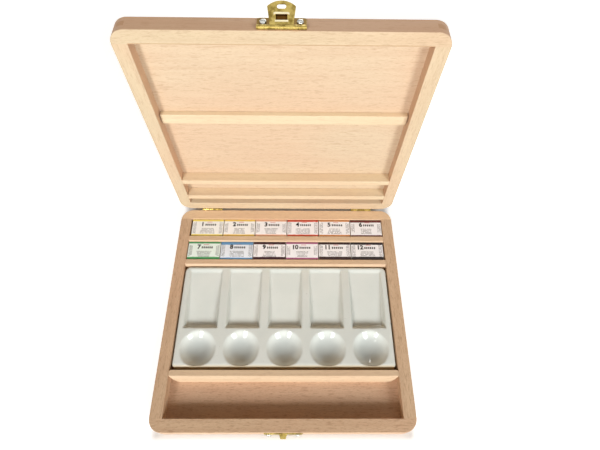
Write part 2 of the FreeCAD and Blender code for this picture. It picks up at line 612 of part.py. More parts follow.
def countersunk_screw():
    """A flat-headed screw for a hinge leaf, its head flush with the leaf."""
    head = Part.makeCone(HINGE_SCREW_SHANK_RADIUS, HINGE_SCREW_HEAD_RADIUS,
                         HINGE_LEAF_THICKNESS, Vector(0, 0, -HINGE_LEAF_THICKNESS))
    return head.fuse(shank(HINGE_SCREW_SHANK_RADIUS, HINGE_SCREW_LENGTH)).removeSplitter()


def pan_head_screw():
    """A domed screw for the latch, its head seated at height 0."""
    head = Part.makeCylinder(LATCH_SCREW_HEAD_RADIUS, LATCH_SCREW_HEAD_HEIGHT)
    rim = [e for e in head.Edges if e.BoundBox.ZMin > LATCH_SCREW_HEAD_HEIGHT / 2]
    head = head.makeFillet(LATCH_SCREW_CROWN_RADIUS, rim)
    return head.fuse(shank(LATCH_SCREW_SHANK_RADIUS, LATCH_SCREW_LENGTH)).removeSplitter()


def placed(shape, x, y, z, turn):
    """The shape turned about X and then moved."""
    copy = shape.copy()
    copy.Placement = Placement(Vector(x, y, z), Rotation(X_AXIS, turn))
    return copy


def hinge_screws(z):
    """Four screws for one pair of leaves: the blanks to cut with, and the slotted screws."""
    y = BACK_Y + HINGE_LEAF_THICKNESS
    blank = countersunk_screw()
    finished = slotted(blank, 0, HINGE_SCREW_HEAD_RADIUS)
    spots = [(side * HINGE_SPACING / 2 + way * HINGE_SCREW_SPACING / 2)
             for side in (-1, 1) for way in (-1, 1)]
    return ([placed(blank, x, y, z, -90) for x in spots],
            [placed(finished, x, y, z, -90) for x in spots])


def latch_screws(z):
    """The two screws of a front plate: the blanks to cut with, and the slotted screws."""
    blank = pan_head_screw()
    finished = slotted(blank, LATCH_SCREW_HEAD_HEIGHT, LATCH_SCREW_HEAD_RADIUS)
    spots = (-LATCH_SCREW_SPACING / 2, LATCH_SCREW_SPACING / 2)
    return ([placed(blank, x, PLATE_FRONT_Y, z, 90) for x in spots],
            [placed(finished, x, PLATE_FRONT_Y, z, 90) for x in spots])


# ---- Assembly ----

def base_pieces():
    """Everything that belongs to the base, apart from what lifts out of it."""
    pieces = case_frame("base_", 0, BASE_HEIGHT, BASE_HEIGHT, 0, BASE_PANEL_THICKNESS)
    pieces["base_bottom_panel"] = pieces.pop("base_panel")
    pieces["palette_front_bar"] = palette_bar()
    pieces["front_pan_bar"] = pan_bar(FRONT_PAN_BAR_Y, FRONT_PAN_BAR_WIDTH,
                                      FRONT_PAN_BAR_CHAMFER)
    pieces["back_pan_bar"] = pan_bar(BACK_PAN_BAR_Y, BACK_PAN_BAR_WIDTH, BACK_PAN_BAR_CHAMFER)

    screw_blanks, screws = hinge_screws(HINGE_AXIS_Z - HINGE_SCREW_DROP)
    for side, x in (("left", -HINGE_SPACING / 2), ("right", HINGE_SPACING / 2)):
        pieces[side + "_hinge_base_leaf"] = base_leaf(x).cut(screw_blanks)
        pieces[side + "_hinge_pin"] = hinge_pin(x)
    pieces["base_back_rail"] = pieces["base_back_rail"].cut(screw_blanks)
    pieces["base_hinge_screws"] = Part.makeCompound(screws)

    catch_blanks, catch_screws = latch_screws(BASE_HEIGHT - CATCH_TOP_MARGIN - CATCH_HEIGHT / 2)
    pieces["catch_plate"] = catch_plate().cut(catch_blanks)
    pieces["base_front_rail"] = pieces["base_front_rail"].cut(catch_blanks)
    pieces["catch_plate_screws"] = Part.makeCompound(catch_screws)
    return pieces


def lid_pieces():
    """Everything that swings with the lid, drawn shut."""
    inner_z = LID_RIM_Z + LID_RECESS_DEPTH
    pieces = case_frame("lid_", LID_RIM_Z, LID_TOP_Z, LID_RIM_Z, inner_z, LID_TOP_Z)
    pieces["lid_back_pan_strip"] = lid_batten(BACK_STRIP_DISTANCE, PAN_STRIP_THICKNESS,
                                              LID_RIM_Z, inner_z, 0)
    pieces["lid_front_pan_strip"] = lid_batten(FRONT_STRIP_DISTANCE, PAN_STRIP_THICKNESS,
                                               LID_RIM_Z, inner_z, 0)
    pieces["lid_middle_batten"] = lid_batten(BATTEN_DISTANCE, BATTEN_WIDTH,
                                             inner_z - BATTEN_THICKNESS, inner_z, BATTEN_END_GAP)

    screw_blanks, screws = hinge_screws(HINGE_AXIS_Z + HINGE_SCREW_DROP)
    for side, x in (("left", -HINGE_SPACING / 2), ("right", HINGE_SPACING / 2)):
        pieces[side + "_hinge_lid_leaf"] = lid_leaf(x).cut(screw_blanks)
    pieces["lid_back_rail"] = pieces["lid_back_rail"].cut(screw_blanks)
    pieces["lid_hinge_screws"] = Part.makeCompound(screws)

    top = LID_TOP_Z - LATCH_PLATE_TOP_MARGIN
    plate_blanks, plate_screws = latch_screws((LATCH_AXIS_Z + LATCH_KNUCKLE_RADIUS + top) / 2)
    pieces["latch_plate"] = latch_plate().cut(plate_blanks)
    pieces["lid_front_rail"] = pieces["lid_front_rail"].cut(plate_blanks)
    pieces["latch_plate_screws"] = Part.makeCompound(plate_screws)
    pieces["latch_pin"] = latch_pin()
    pieces["latch_flap"] = turned(latch_flap(), -FLAP_OPEN_ANGLE, LATCH_AXIS_Y, LATCH_AXIS_Z)
    return pieces


def pan_pieces():
    """The twelve wrapped pans, a sleeve and a filled tub each."""
    pieces = {}
    for row, row_y, shift in (("back", BACK_ROW_Y, BACK_ROW_SHIFT),
                              ("front", FRONT_ROW_Y, FRONT_ROW_SHIFT)):
        for number in range(PANS_PER_ROW):
            corner = pan_corner(row_y, shift, number)
            name = f"{row}_pan_{number + 1}"
            pieces[name + "_wrapper"] = pan_wrapper(corner)
            pieces[name + "_tub"] = filled_tub(corner)
    return pieces


def main():
    """Build every piece at rest and write it to its own file."""
    pieces = base_pieces()
    pieces["palette"] = palette()
    pieces.update(pan_pieces())
    pieces.update({name: opened(shape) for name, shape in lid_pieces().items()})
    os.makedirs("parts", exist_ok=True)
    for name, shape in pieces.items():
        shape.exportStep(f"parts/{name}.step")
        print(name, len(shape.Solids), "solid(s),", round(shape.Volume, 1), "mm3, valid:",
              shape.isValid())


main()
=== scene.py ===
"""Finishes the watercolour paint box: beech, porcelain, printed paper and brass.

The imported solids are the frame. Rails, panels, tubs, pins and screws keep their solids and
get a finish. Bars, strips and sheet brass are copies of theirs with eased edges. The palette,
the pans' paper sleeves and the print on them are modelled here.
"""

import logging
import math
from dataclasses import dataclass, field
from enum import Enum
from typing import Dict, Iterable, List, Optional, Sequence, Tuple, Union

import bmesh
import bpy
from mathutils import Matrix, Vector


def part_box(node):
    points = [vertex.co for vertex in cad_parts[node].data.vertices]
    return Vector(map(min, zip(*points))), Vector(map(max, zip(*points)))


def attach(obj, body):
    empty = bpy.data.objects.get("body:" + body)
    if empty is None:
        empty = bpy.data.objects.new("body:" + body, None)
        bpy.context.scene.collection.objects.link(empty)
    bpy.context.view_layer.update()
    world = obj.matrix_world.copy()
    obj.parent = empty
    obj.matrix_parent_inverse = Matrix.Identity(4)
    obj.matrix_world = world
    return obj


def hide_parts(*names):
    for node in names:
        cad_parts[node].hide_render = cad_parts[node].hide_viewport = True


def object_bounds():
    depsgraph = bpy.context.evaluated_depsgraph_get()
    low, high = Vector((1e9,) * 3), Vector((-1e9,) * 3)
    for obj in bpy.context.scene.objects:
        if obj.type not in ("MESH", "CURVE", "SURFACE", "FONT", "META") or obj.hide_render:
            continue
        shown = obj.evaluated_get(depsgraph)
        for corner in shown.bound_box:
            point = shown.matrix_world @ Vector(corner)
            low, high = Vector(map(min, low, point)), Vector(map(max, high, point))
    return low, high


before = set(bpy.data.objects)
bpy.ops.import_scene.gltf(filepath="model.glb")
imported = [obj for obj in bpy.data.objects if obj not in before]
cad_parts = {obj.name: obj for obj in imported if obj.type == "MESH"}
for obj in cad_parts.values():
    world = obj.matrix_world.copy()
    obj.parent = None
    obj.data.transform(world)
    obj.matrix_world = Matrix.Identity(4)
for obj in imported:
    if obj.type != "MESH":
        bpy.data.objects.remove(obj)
CAD_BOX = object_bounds()
LOG = logging.getLogger("paint_box")
MM = 0.001
WHITE = (1.0, 1.0, 1.0)
Colour = Tuple[float, float, float]
Number = Union["Value", float]
Input = Union["Value", bpy.types.NodeSocket, float, Sequence[float]]


def srgb(red: int, green: int, blue: int) -> Colour:
    """A colour as it is seen on screen, in the linear numbers that a shader takes.

    Args:
        red: 0 to 255.
        green: 0 to 255.
        blue: 0 to 255.

    Returns:
        Three linear values.
    """
    def linear(level: int) -> float:
        """One channel, from 0 to 255, in linear light."""
        share = level / 255
        return share / 12.92 if share <= 0.04045 else ((share + 0.055) / 1.055) ** 2.4
    return linear(red), linear(green), linear(blue)


# ---- Shader building ----

class Value:
    """A number in a material: a socket whose arithmetic adds Math nodes."""

    def __init__(self, shader: "Shader", socket: bpy.types.NodeSocket) -> None:
        """Wrap a socket of one shader."""
        self.shader = shader
        self.socket = socket

    def math(self, operation: str, *others: Number, first: bool = True) -> "Value":
        """Apply a Math node.

        Args:
            operation: The Math node's operation.
            others: The other operands.
            first: Whether this value is the first operand.

        Returns:
            The result as a new value.
        """
        operands = [self, *others] if first else [*others, self]
        node = self.shader.node("ShaderNodeMath", {"operation": operation},
                                dict(enumerate(operands)))
        return Value(self.shader, node.outputs[0])

    def __add__(self, other: Number) -> "Value":
        """This plus other."""
        return self.math("ADD", other)

    def __sub__(self, other: Number) -> "Value":
        """This less other."""
        return self.math("SUBTRACT", other)

    def __mul__(self, other: Number) -> "Value":
        """This times other."""
        return self.math("MULTIPLY", other)

    def __truediv__(self, other: Number) -> "Value":
        """This over other."""
        return self.math("DIVIDE", other)

    def __rsub__(self, other: float) -> "Value":
        """Other less this."""
        return self.math("SUBTRACT", other, first=False)

    def __rtruediv__(self, other: float) -> "Value":
        """Other over this."""
        return self.math("DIVIDE", other, first=False)

    __radd__ = __add__
    __rmul__ = __mul__

    def __abs__(self) -> "Value":
        """This without its sign."""
        return self.math("ABSOLUTE")

    def least(self, other: Number) -> "Value":
        """The smaller of this and other."""
        return self.math("MINIMUM", other)

    def most(self, other: Number) -> "Value":
        """The larger of this and other."""
        return self.math("MAXIMUM", other)

    def above(self, start: float, end: float) -> "Value":
        """A soft step.

        Args:
            start: Where it leaves 0.
            end: Where it reaches 1. It may be below start, for a falling step.

        Returns:
            0 before start, 1 past end, and smooth between.
        """
        low, high, to_low, to_high = start, end, 0.0, 1.0
        if start > end:
            low, high, to_low, to_high = end, start, 1.0, 0.0
        node = self.shader.node("ShaderNodeMapRange", {"interpolation_type": "SMOOTHSTEP"},
                                {"Value": self, "From Min": low, "From Max": high,
                                 "To Min": to_low, "To Max": to_high})
        return Value(self.shader, node.outputs[0])

    def band(self, centre: float, half: float, soft: float) -> "Value":
        """1 within half of centre, falling to 0 over soft."""
        return abs(self - centre).above(half + soft, half)


class Nodes:
    """A node tree, filled by one method."""

    def __init__(self, tree: bpy.types.NodeTree) -> None:
        """Take over a tree and empty it."""
        self.tree = tree
        tree.nodes.clear()

    def node(self, kind: str, settings: Optional[dict] = None,
             inputs: Optional[Dict[Union[str, int], Input]] = None) -> bpy.types.Node:
        """Add any node.

        Args:
            kind: The node's type.
            settings: Its own properties, which are set first.
            inputs: Values or links for its sockets, by name or number.

        Returns:
            The node.
        """
        made = self.tree.nodes.new(kind)
        for key, value in (settings or {}).items():
            setattr(made, key, value)
        for key, value in (inputs or {}).items():
            self.feed(made.inputs[key], value)
        return made

    def feed(self, socket: bpy.types.NodeSocket, value: Input) -> None:
        """Set a socket to a value, or link it to one.

        Args:
            socket: The input to feed.
            value: A number, a colour, a vector, a socket or a Value.
        """
        if isinstance(value, Value):
            value = value.socket
        if isinstance(value, bpy.types.NodeSocket):
            self.tree.links.new(value, socket)
        elif socket.type == "RGBA":
            socket.default_value = (*value, 1.0)
        else:
            socket.default_value = value


class Shader(Nodes):
    """One material's nodes round a Principled shader."""

    def __init__(self, name: str) -> None:
        """Start a material.

        Args:
            name: Its name.
        """
        self.material = bpy.data.materials.new(name)
        self.material.use_nodes = True
        super().__init__(self.material.node_tree)
        self.surface = self.node("ShaderNodeBsdfPrincipled")
        self.output = self.node("ShaderNodeOutputMaterial", None,
                                {"Surface": self.surface.outputs[0]})

    def coordinate(self, kind: str) -> bpy.types.NodeSocket:
        """A texture coordinate, Object or Normal, as one vector."""
        return self.node("ShaderNodeTexCoord").outputs[kind]

    def parts(self, kind: str) -> Tuple[Value, Value, Value]:
        """A texture coordinate's x, y and z."""
        split = self.node("ShaderNodeSeparateXYZ", None, {0: self.coordinate(kind)})
        return tuple(Value(self, out) for out in split.outputs)

    def vector(self, x: Input, y: Input, z: Input) -> bpy.types.NodeSocket:
        """Three values as one vector."""
        return self.node("ShaderNodeCombineXYZ", None, {0: x, 1: y, 2: z}).outputs[0]

    def noise(self, vector: Input, scale: float = 1.0, detail: float = 2.0,
              rough: float = 0.5, twist: float = 0.0) -> Value:
        """Cloudy noise.

        Args:
            vector: Where it is read.
            scale: How many clouds there are to a unit of the vector.
            detail: How many finer layers it has.
            rough: How strong the finer layers are.
            twist: How far it is warped.

        Returns:
            A value from 0 to 1.
        """
        node = self.node("ShaderNodeTexNoise", None,
                         {"Vector": vector, "Scale": scale, "Detail": detail,
                          "Roughness": rough, "Distortion": twist})
        return Value(self, node.outputs[0])

    def mix(self, share: Input, first: Input, second: Input) -> bpy.types.NodeSocket:
        """The colour that goes from first, at a share of 0, to second, at 1."""
        return self.node("ShaderNodeMix", {"data_type": "RGBA"},
                         {0: share, 6: first, 7: second}).outputs[2]

    def bump(self, height: Value, depth: float, strength: float = 1.0) -> bpy.types.NodeSocket:
        """A normal from a height of 0 to 1 that stands for a depth in metres."""
        return self.node("ShaderNodeBump", None, {"Strength": strength, "Distance": depth,
                                                  "Height": height}).outputs[0]

    def finish(self, **sockets: Input) -> bpy.types.Material:
        """Feed the Principled shader's sockets, named with underscores for spaces."""
        for key, value in sockets.items():
            self.feed(self.surface.inputs[key.replace("_", " ")], value)
        return self.material


# ---- Finishes ----

class Grain(Enum):
    """The way a board's grain runs, as the order of its along, across and through axes."""

    ALONG_X = (0, 1, 2)
    ALONG_Y = (1, 0, 2)
    ALONG_Z = (2, 0, 1)


class Timber(Enum):
    """The shades of each cut of beech: between the streaks, in the streaks, and the flecks."""

    BASE = (srgb(212, 182, 150), srgb(196, 163, 132), srgb(150, 109, 81))
    # BACK is a paler copy of BASE: painted light, for the light that the open lid throws back onto
    # the back rail.
    BACK = (srgb(231, 201, 165), srgb(220, 186, 150), srgb(177, 135, 102))
    FLOOR = (srgb(209, 177, 149), srgb(194, 159, 132), srgb(141, 100, 75))
    BAR = (srgb(222, 196, 164), srgb(210, 180, 147), srgb(167, 130, 100))
    LID = (srgb(209, 191, 160), srgb(198, 176, 146), srgb(166, 134, 104))
    VENEER = (srgb(210, 190, 162), srgb(203, 178, 150), srgb(174, 140, 112))
    STRIP = (srgb(223, 204, 172), srgb(214, 192, 158), srgb(176, 146, 114))


@dataclass(frozen=True)
class Beech:
    """Satin-lacquered beech: streaks and short flecks along the grain, pores on its ends.

    Attributes:
        name: The material's name.
        grain: Which way the grain runs.
        timber: The shades of this board.
        shift: Moves the pattern, so that no two boards match.
        figure: How strongly the broad flame of a peeled veneer shows.
        fleck: How strongly the short flecks show.
        flush: How much painted shade, darker and redder, the faces square to the lid's rim get.
        painted_edge_shade: Half the length and the z of the lower edge of the rim's face, along
            which a line of painted shade runs, in metres.
    """

    name: str
    grain: Grain
    timber: Timber
    shift: float
    figure: float = 0.25
    fleck: float = 0.5
    flush: float = 0.0
    painted_edge_shade: Optional[Tuple[float, float]] = None

    def material(self) -> bpy.types.Material:
        """Build the wood.

        Returns:
            The finished material.
        """
        shader = Shader(self.name)
        pale, deep, dark = self.timber.value
        spot, normal = shader.parts("Object"), shader.parts("Normal")
        along, across, through = (spot[i] + self.shift for i in self.grain.value)
        end = abs(normal[self.grain.value[0]]).above(0.75, 0.92)
        streak = shader.noise(shader.vector(along * 11, across * 330, through * 330), detail=4)
        bands = shader.noise(shader.vector(along * 3.0, across * 15, through * 15), detail=2,
                             twist=0.8)
        flame = abs((bands * 9).math("FRACT") - 0.5).above(0.05, 0.5)
        cloud = shader.noise(shader.vector(along * 9, across * 16, through * 16), detail=1)
        dashes = shader.noise(shader.vector(along * 420, across * 2600, through * 2600), detail=1)
        ray = shader.noise(shader.vector(along * 130, across * 920, through * 920), detail=2)
        dash = dashes.above(0.56, 0.74)
        mark = ray.above(0.54, 0.68)
        glint = dashes.above(0.42, 0.28)
        pores = shader.noise(shader.vector(*(part * 2600 for part in (along, across, through))))
        tone = (streak.above(0.28, 0.76) * 0.6 + flame * self.figure).least(1.0)
        colour = shader.mix(tone, pale, deep)
        colour = shader.mix(cloud.above(0.38, 0.68) * 0.25, colour, srgb(214, 169, 139))
        colour = shader.mix(dash * (self.fleck * 0.42), colour, dark)
        colour = shader.mix(mark * (self.fleck * 0.42), colour, dark)
        colour = shader.mix(glint * (self.fleck * 0.30), colour, srgb(226, 205, 175))
        # Painted shade: faces square to the rim are darkened and reddened, as raking light shows
        # them.
        if self.flush:
            sides = abs(normal[1]).above(0.6, 0.3)
            colour = shader.mix(sides * self.flush, colour, srgb(200, 148, 116))
        # Painted shade: a darker line along the lower edge of the rim's face, where it meets the
        # panel.
        if self.painted_edge_shade:
            half, edge = self.painted_edge_shade
            edge_shade = (spot[2].above(edge + 1.3 * MM, edge + 0.5 * MM) * abs(normal[1]).above(0.6, 0.9)
                    * abs(spot[0]).above(half + 0.2 * MM, half - 0.4 * MM))
            colour = shader.mix(edge_shade * 0.5, colour, srgb(176, 134, 96))
        raw_end = shader.mix(pores.above(0.45, 0.62) * 0.5, srgb(194, 154, 118),
                             srgb(149, 107, 75))
        colour = shader.mix(end * 0.75, colour, raw_end)
        rough = 0.42 + streak * 0.12 + dash * 0.08 + end * 0.12
        height = streak * 0.3 + (1.0 - dash) * 0.35 + (1.0 - mark) * 0.35
        return shader.finish(Base_Color=colour, Roughness=rough,
                             Normal=shader.bump(height, 0.03 * MM, 0.45),
                             Specular_IOR_Level=0.22, Coat_Weight=0.04, Coat_Roughness=0.35)


@dataclass(frozen=True)
class Porcelain:
    """White glaze over a bare foot, with painted shade deep in the round wells and a warm painted
    shadow and reflection of the front bar on the lip.

    Attributes:
        name: The material's name.
        foot_z: The height of the foot, in metres.
        painted_well_shade_y: The y before which the round wells get painted shade.
        painted_well_shade_z: The heights at which that painted shade starts and is full.
        lip_y: The y of the front edge, behind which a warm painted shadow and reflection of the
            front bar lies on the glaze.
    """

    name: str
    foot_z: float
    painted_well_shade_y: float
    painted_well_shade_z: Tuple[float, float]
    lip_y: float

    def material(self) -> bpy.types.Material:
        """Build the glaze.

        Returns:
            The finished material.
        """
        shader = Shader(self.name)
        spot = shader.coordinate("Object")
        _x, y, z = shader.parts("Object")
        cloud = shader.noise(spot, 38, 3)
        speck = shader.noise(spot, 900, 1).above(0.74, 0.80)
        foot = z.above(self.foot_z + 0.5 * MM, self.foot_z + 0.1 * MM)
        colour = shader.mix(cloud.above(0.35, 0.7), srgb(222, 227, 222), srgb(217, 223, 218))
        # Painted shade: the glaze is greyed deep in the round wells, where shade falls.
        painted_well_shade = z.above(*self.painted_well_shade_z) * y.above(self.painted_well_shade_y, self.painted_well_shade_y - 1.0 * MM)
        colour = shader.mix(painted_well_shade * (1.0 - foot), colour, srgb(184, 190, 187))
        # Painted shadow and reflection of the front bar: warm colour on the front lip, where the
        # glaze is also rougher and less coated.
        painted_lip_shadow = y.above(self.lip_y + 4.4 * MM, self.lip_y + 1.4 * MM)
        colour = shader.mix(painted_lip_shadow * 0.85, colour, srgb(190, 164, 112))
        colour = shader.mix(speck * 0.35, colour, srgb(150, 140, 125))
        colour = shader.mix(foot, colour, srgb(204, 197, 184))
        rough = 0.035 + cloud * 0.03 + foot * 0.6 + painted_lip_shadow * 0.4
        ripple = shader.noise(spot, 120, 2)
        return shader.finish(Base_Color=colour, Roughness=rough, IOR=1.45,
                             Normal=shader.bump(ripple, 0.05 * MM, 0.25),
                             Coat_Weight=0.15 * (1.0 - painted_lip_shadow), Coat_Roughness=0.04)


@dataclass(frozen=True)
class Patch:
    """A stretch of pressed sheet painted darker or paler for painted shade, highlights and
    reflections: a slanting box, in millimetres.

    Attributes:
        pivot: The y and z that the slant starts from.
        slant: How far its length rises over Y, in degrees.
        half_width: Half its width along X.
        length: Where it starts and ends along the slant.
        depth: Where it starts and ends below the slant.
        colour: The metal's painted colour there.
        rough: How much rougher the metal is there.
        soft: How far it fades out.
    """

    pivot: Tuple[float, float]
    slant: float
    half_width: float
    length: Tuple[float, float]
    depth: Tuple[float, float]
    colour: Colour
    rough: float = 0.0
    soft: float = 0.02

    def mask(self, shader: Shader) -> Value:
        """Find the patch on a surface.

        Args:
            shader: The metal's shader.

        Returns:
            1 inside the box, 0 elsewhere.
        """
        x, y, z = shader.parts("Object")
        y, z = y - self.pivot[0] * MM, z - self.pivot[1] * MM
        slant, soft = math.radians(self.slant), self.soft * MM
        along = y * math.cos(slant) + z * math.sin(slant)
        below = y * math.sin(slant) - z * math.cos(slant)
        mask = abs(x).band(0.0, self.half_width * MM, soft)
        for place, (start, end) in ((along, self.length), (below, self.depth)):
            mask = mask * place.band((start + end) / 2 * MM, (end - start) / 2 * MM, soft)
        return mask


@dataclass(frozen=True)
class Brass:
    """Plated brass with fine scratches and a dull, dark bloom.

    Attributes:
        name: The material's name.
        bright: Its colour where it is clean.
        dull: Its colour in the bloom.
        shine: Its roughness where it is clean.
        patches: The stretches with painted highlights, shade and reflections.
    """

    name: str
    bright: Colour = srgb(204, 180, 104)
    dull: Colour = srgb(98, 78, 26)
    shine: float = 0.2
    patches: Tuple[Patch, ...] = ()

    def material(self) -> bpy.types.Material:
        """Build the metal.

        Returns:
            The finished material.
        """
        shader = Shader(self.name)
        x, y, z = shader.parts("Object")
        bloom = shader.noise(shader.coordinate("Object"), 210, 4, 0.6)
        scratch = shader.noise(shader.vector(x * 900, y * 6000, z * 6000), 1, 2)
        mask = bloom.above(0.36, 0.64)
        colour = shader.mix(mask * 0.85, self.bright, self.dull)
        rough = self.shine + mask * 0.22 + scratch * 0.08
        for patch in self.patches:
            inside = patch.mask(shader)
            colour = shader.mix(inside, colour, patch.colour)
            rough = rough + inside * patch.rough
        return shader.finish(Base_Color=colour, Roughness=rough, Metallic=1.0,
                             Normal=shader.bump(scratch, 0.01 * MM, 0.4))


@dataclass(frozen=True)
class Steel:
    """Cloudy zinc plate on screws."""

    name: str

    def material(self) -> bpy.types.Material:
        """Build the plate.

        Returns:
            The finished material.
        """
        shader = Shader(self.name)
        bloom = shader.noise(shader.coordinate("Object"), 700, 3)
        colour = shader.mix(bloom.above(0.4, 0.7), srgb(214, 214, 208), srgb(160, 162, 158))
        return shader.finish(Base_Color=colour, Roughness=0.2 + bloom * 0.15, Metallic=1.0,
                             Normal=shader.bump(bloom, 0.01 * MM, 0.3))


@dataclass(frozen=True)
class Plastic:
    """White moulded plastic with a faint dusting of paint."""

    name: str
    dust: Colour

    def material(self) -> bpy.types.Material:
        """Build the plastic.

        Returns:
            The finished material.
        """
        shader = Shader(self.name)
        cloud = shader.noise(shader.coordinate("Object"), 420, 3)
        colour = shader.mix(cloud.above(0.5, 0.8) * 0.35, srgb(236, 236, 231), self.dust)
        return shader.finish(Base_Color=colour, Roughness=0.35 + cloud * 0.1,
                             Normal=shader.bump(cloud, 0.02 * MM, 0.3))


@dataclass(frozen=True)
class Ink:
    """Flat printing ink."""

    name: str
    colour: Colour

    def material(self) -> bpy.types.Material:
        """Build the ink, a little uneven.

        Returns:
            The finished material.
        """
        shader = Shader(self.name)
        cloud = shader.noise(shader.coordinate("Object"), 1500, 2)
        pale = tuple(min(1.0, part + 0.06) for part in self.colour)
        colour = shader.mix(cloud.above(0.4, 0.8), self.colour, pale)
        return shader.finish(Base_Color=colour, Roughness=0.5 + cloud * 0.1,
                             Specular_IOR_Level=0.15)


@dataclass(frozen=True)
class Rules:
    """A block of printed lines too small to read, in millimetres.

    Attributes:
        first: Where the first line's middle lies.
        pitch: From line to line.
        count: How many lines there are.
        half_length: Half the longest line.
    """

    first: float
    pitch: float
    count: int
    half_length: float

    def mask(self, shader: Shader, along: Value, across: Value, seed: float) -> Value:
        """Find the lines on the paper.

        Args:
            shader: The paper's shader.
            along: The place along the lines, in metres.
            across: The place across them, in metres.
            seed: Sets how they break up.

        Returns:
            1 on the ink, 0 between.
        """
        step = (across - (self.first - self.pitch / 2) * MM) / (self.pitch * MM)
        number = step.math("FLOOR")
        middle = (self.count - 1) / 2
        within = number.band(middle, middle, 0.4)
        stripe = abs(step.math("FRACT") - 0.5).above(0.30, 0.22)
        ragged = (number * 12.9898 + seed).math("SINE") * 0.16 + 0.84
        ends = (abs(along) / ragged).above((self.half_length + 0.15) * MM, self.half_length * MM)
        words = shader.noise(shader.vector(along * 1300, number * 7.3, seed), 1, 1)
        return stripe * within * ends * words.above(0.36, 0.46)


@dataclass(frozen=True)
class LabelPaper:
    """A sleeve's printed paper, laid out from the middle of its top, in millimetres.

    Attributes:
        name: The material's name.
        colour: The edge colour.
        centre: The sleeve's middle.
        half_length: Half its length along X.
        half_depth: Half its depth along Y.
        back_edge: The width of the coloured edge along the top's back.
        front_edge: The same along its front.
        seed: Sets how the printed rules break up.
        tint: How much the colour shows in the white of the paper.
        body: The lines under the number.
        column: The lines that run along each end, from the end.
    """

    name: str
    colour: Colour
    centre: Tuple[float, float]
    half_length: float
    half_depth: float
    back_edge: float
    front_edge: float
    seed: float
    tint: float
    body: Rules = Rules(-6.3, 1.3, 5, 7.2)
    column: Rules = Rules(-3.6, 0.85, 4, 6.6)

    def material(self) -> bpy.types.Material:
        """Build the paper and its print.

        Returns:
            The finished material.
        """
        shader = Shader(self.name)
        spot = shader.coordinate("Object")
        x, y, _z = shader.parts("Object")
        up = shader.parts("Normal")[2]
        u, v = x - self.centre[0] * MM, y - self.centre[1] * MM
        on_top = up.above(0.6, 0.8)
        fray = shader.noise(spot, 420, 2) * (0.5 * MM)
        fade = 0.2 * MM
        back_start = (self.half_depth - self.back_edge) * MM
        back = (v + fray).above(back_start, back_start + fade)
        front_start = (self.front_edge - self.half_depth) * MM
        front = (v - fray).above(front_start, front_start - fade)
        coloured = back.most(front).most(1.0 - abs(up).above(0.5, 0.7))
        body = self.body.mask(shader, u, v, self.seed)
        column = self.column.mask(shader, v, abs(u) - self.half_length * MM, self.seed)
        print_mask = body.most(column) * on_top * (1.0 - coloured)
        dash = u.band(1.6 * MM, 2.4 * MM, fade) * v.band(6.2 * MM, 0.35 * MM, 0.15 * MM)
        fibre = shader.noise(spot, 2600, 3)
        cloud = shader.noise(spot, 130, 2)
        full = max(self.colour)
        sheet = tuple((1.0 - self.tint) * white + self.tint * part / full
                      for white, part in zip(srgb(250, 252, 255), self.colour))
        shade = tuple(0.96 * part for part in sheet)
        colour = shader.mix(cloud.above(0.3, 0.8), sheet, shade)
        colour = shader.mix(print_mask * 0.72, colour, srgb(76, 72, 76))
        colour = shader.mix(dash * on_top * (1.0 - coloured) * 0.6, colour, srgb(206, 84, 84))
        deep = tuple(part * 0.9 for part in self.colour)
        edge = shader.mix(cloud, self.colour, deep)
        colour = shader.mix(coloured * 0.97, colour, edge)
        height = fibre * 0.4 + cloud * 0.6
        return shader.finish(Base_Color=colour, Roughness=0.48 + fibre * 0.12,
                             Normal=shader.bump(height, 0.06 * MM, 0.4),
                             Specular_IOR_Level=0.15)


# ---- Mesh helpers ----

def set_out(name: str, data: bpy.types.ID) -> bpy.types.Object:
    """Make an object of some data and put it in the scene."""
    made = bpy.data.objects.new(name, data)
    bpy.context.scene.collection.objects.link(made)
    return made


def as_piece(name: str, mesh: bmesh.types.BMesh, material: bpy.types.Material, body: str,
             nodes: Iterable[str] = (), smooth: Optional[float] = 40.0
             ) -> bpy.types.Object:
    """Turn a bmesh into a piece of the box.

    Args:
        name: The piece's name.
        mesh: Its mesh, which is freed.
        material: Its finish.
        body: The body that it rides on.
        nodes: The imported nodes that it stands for.
        smooth: The sharpest edge that is shaded smooth, in degrees, or None for flat.

    Returns:
        The object.
    """
    data = bpy.data.meshes.new(name)
    mesh.to_mesh(data)
    mesh.free()
    piece = set_out(name, data)
    data.materials.append(material)
    if smooth is not None:
        data.shade_smooth()
        data.set_sharp_from_angle(angle=math.radians(smooth))
    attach(piece, body)
    if nodes:
        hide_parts(*nodes)
    LOG.info("%s: %d faces on %s", name, len(data.polygons), body)
    return piece


def dress(nodes: Iterable[str], material: bpy.types.Material) -> None:
    """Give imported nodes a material.

    Args:
        nodes: Their names.
        material: Their finish.
    """
    for name in nodes:
        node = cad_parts[name]
        if not node.material_slots:
            node.data.materials.append(material)
        for slot in node.material_slots:
            slot.material = material
        LOG.info("%s: %s", name, material.name)


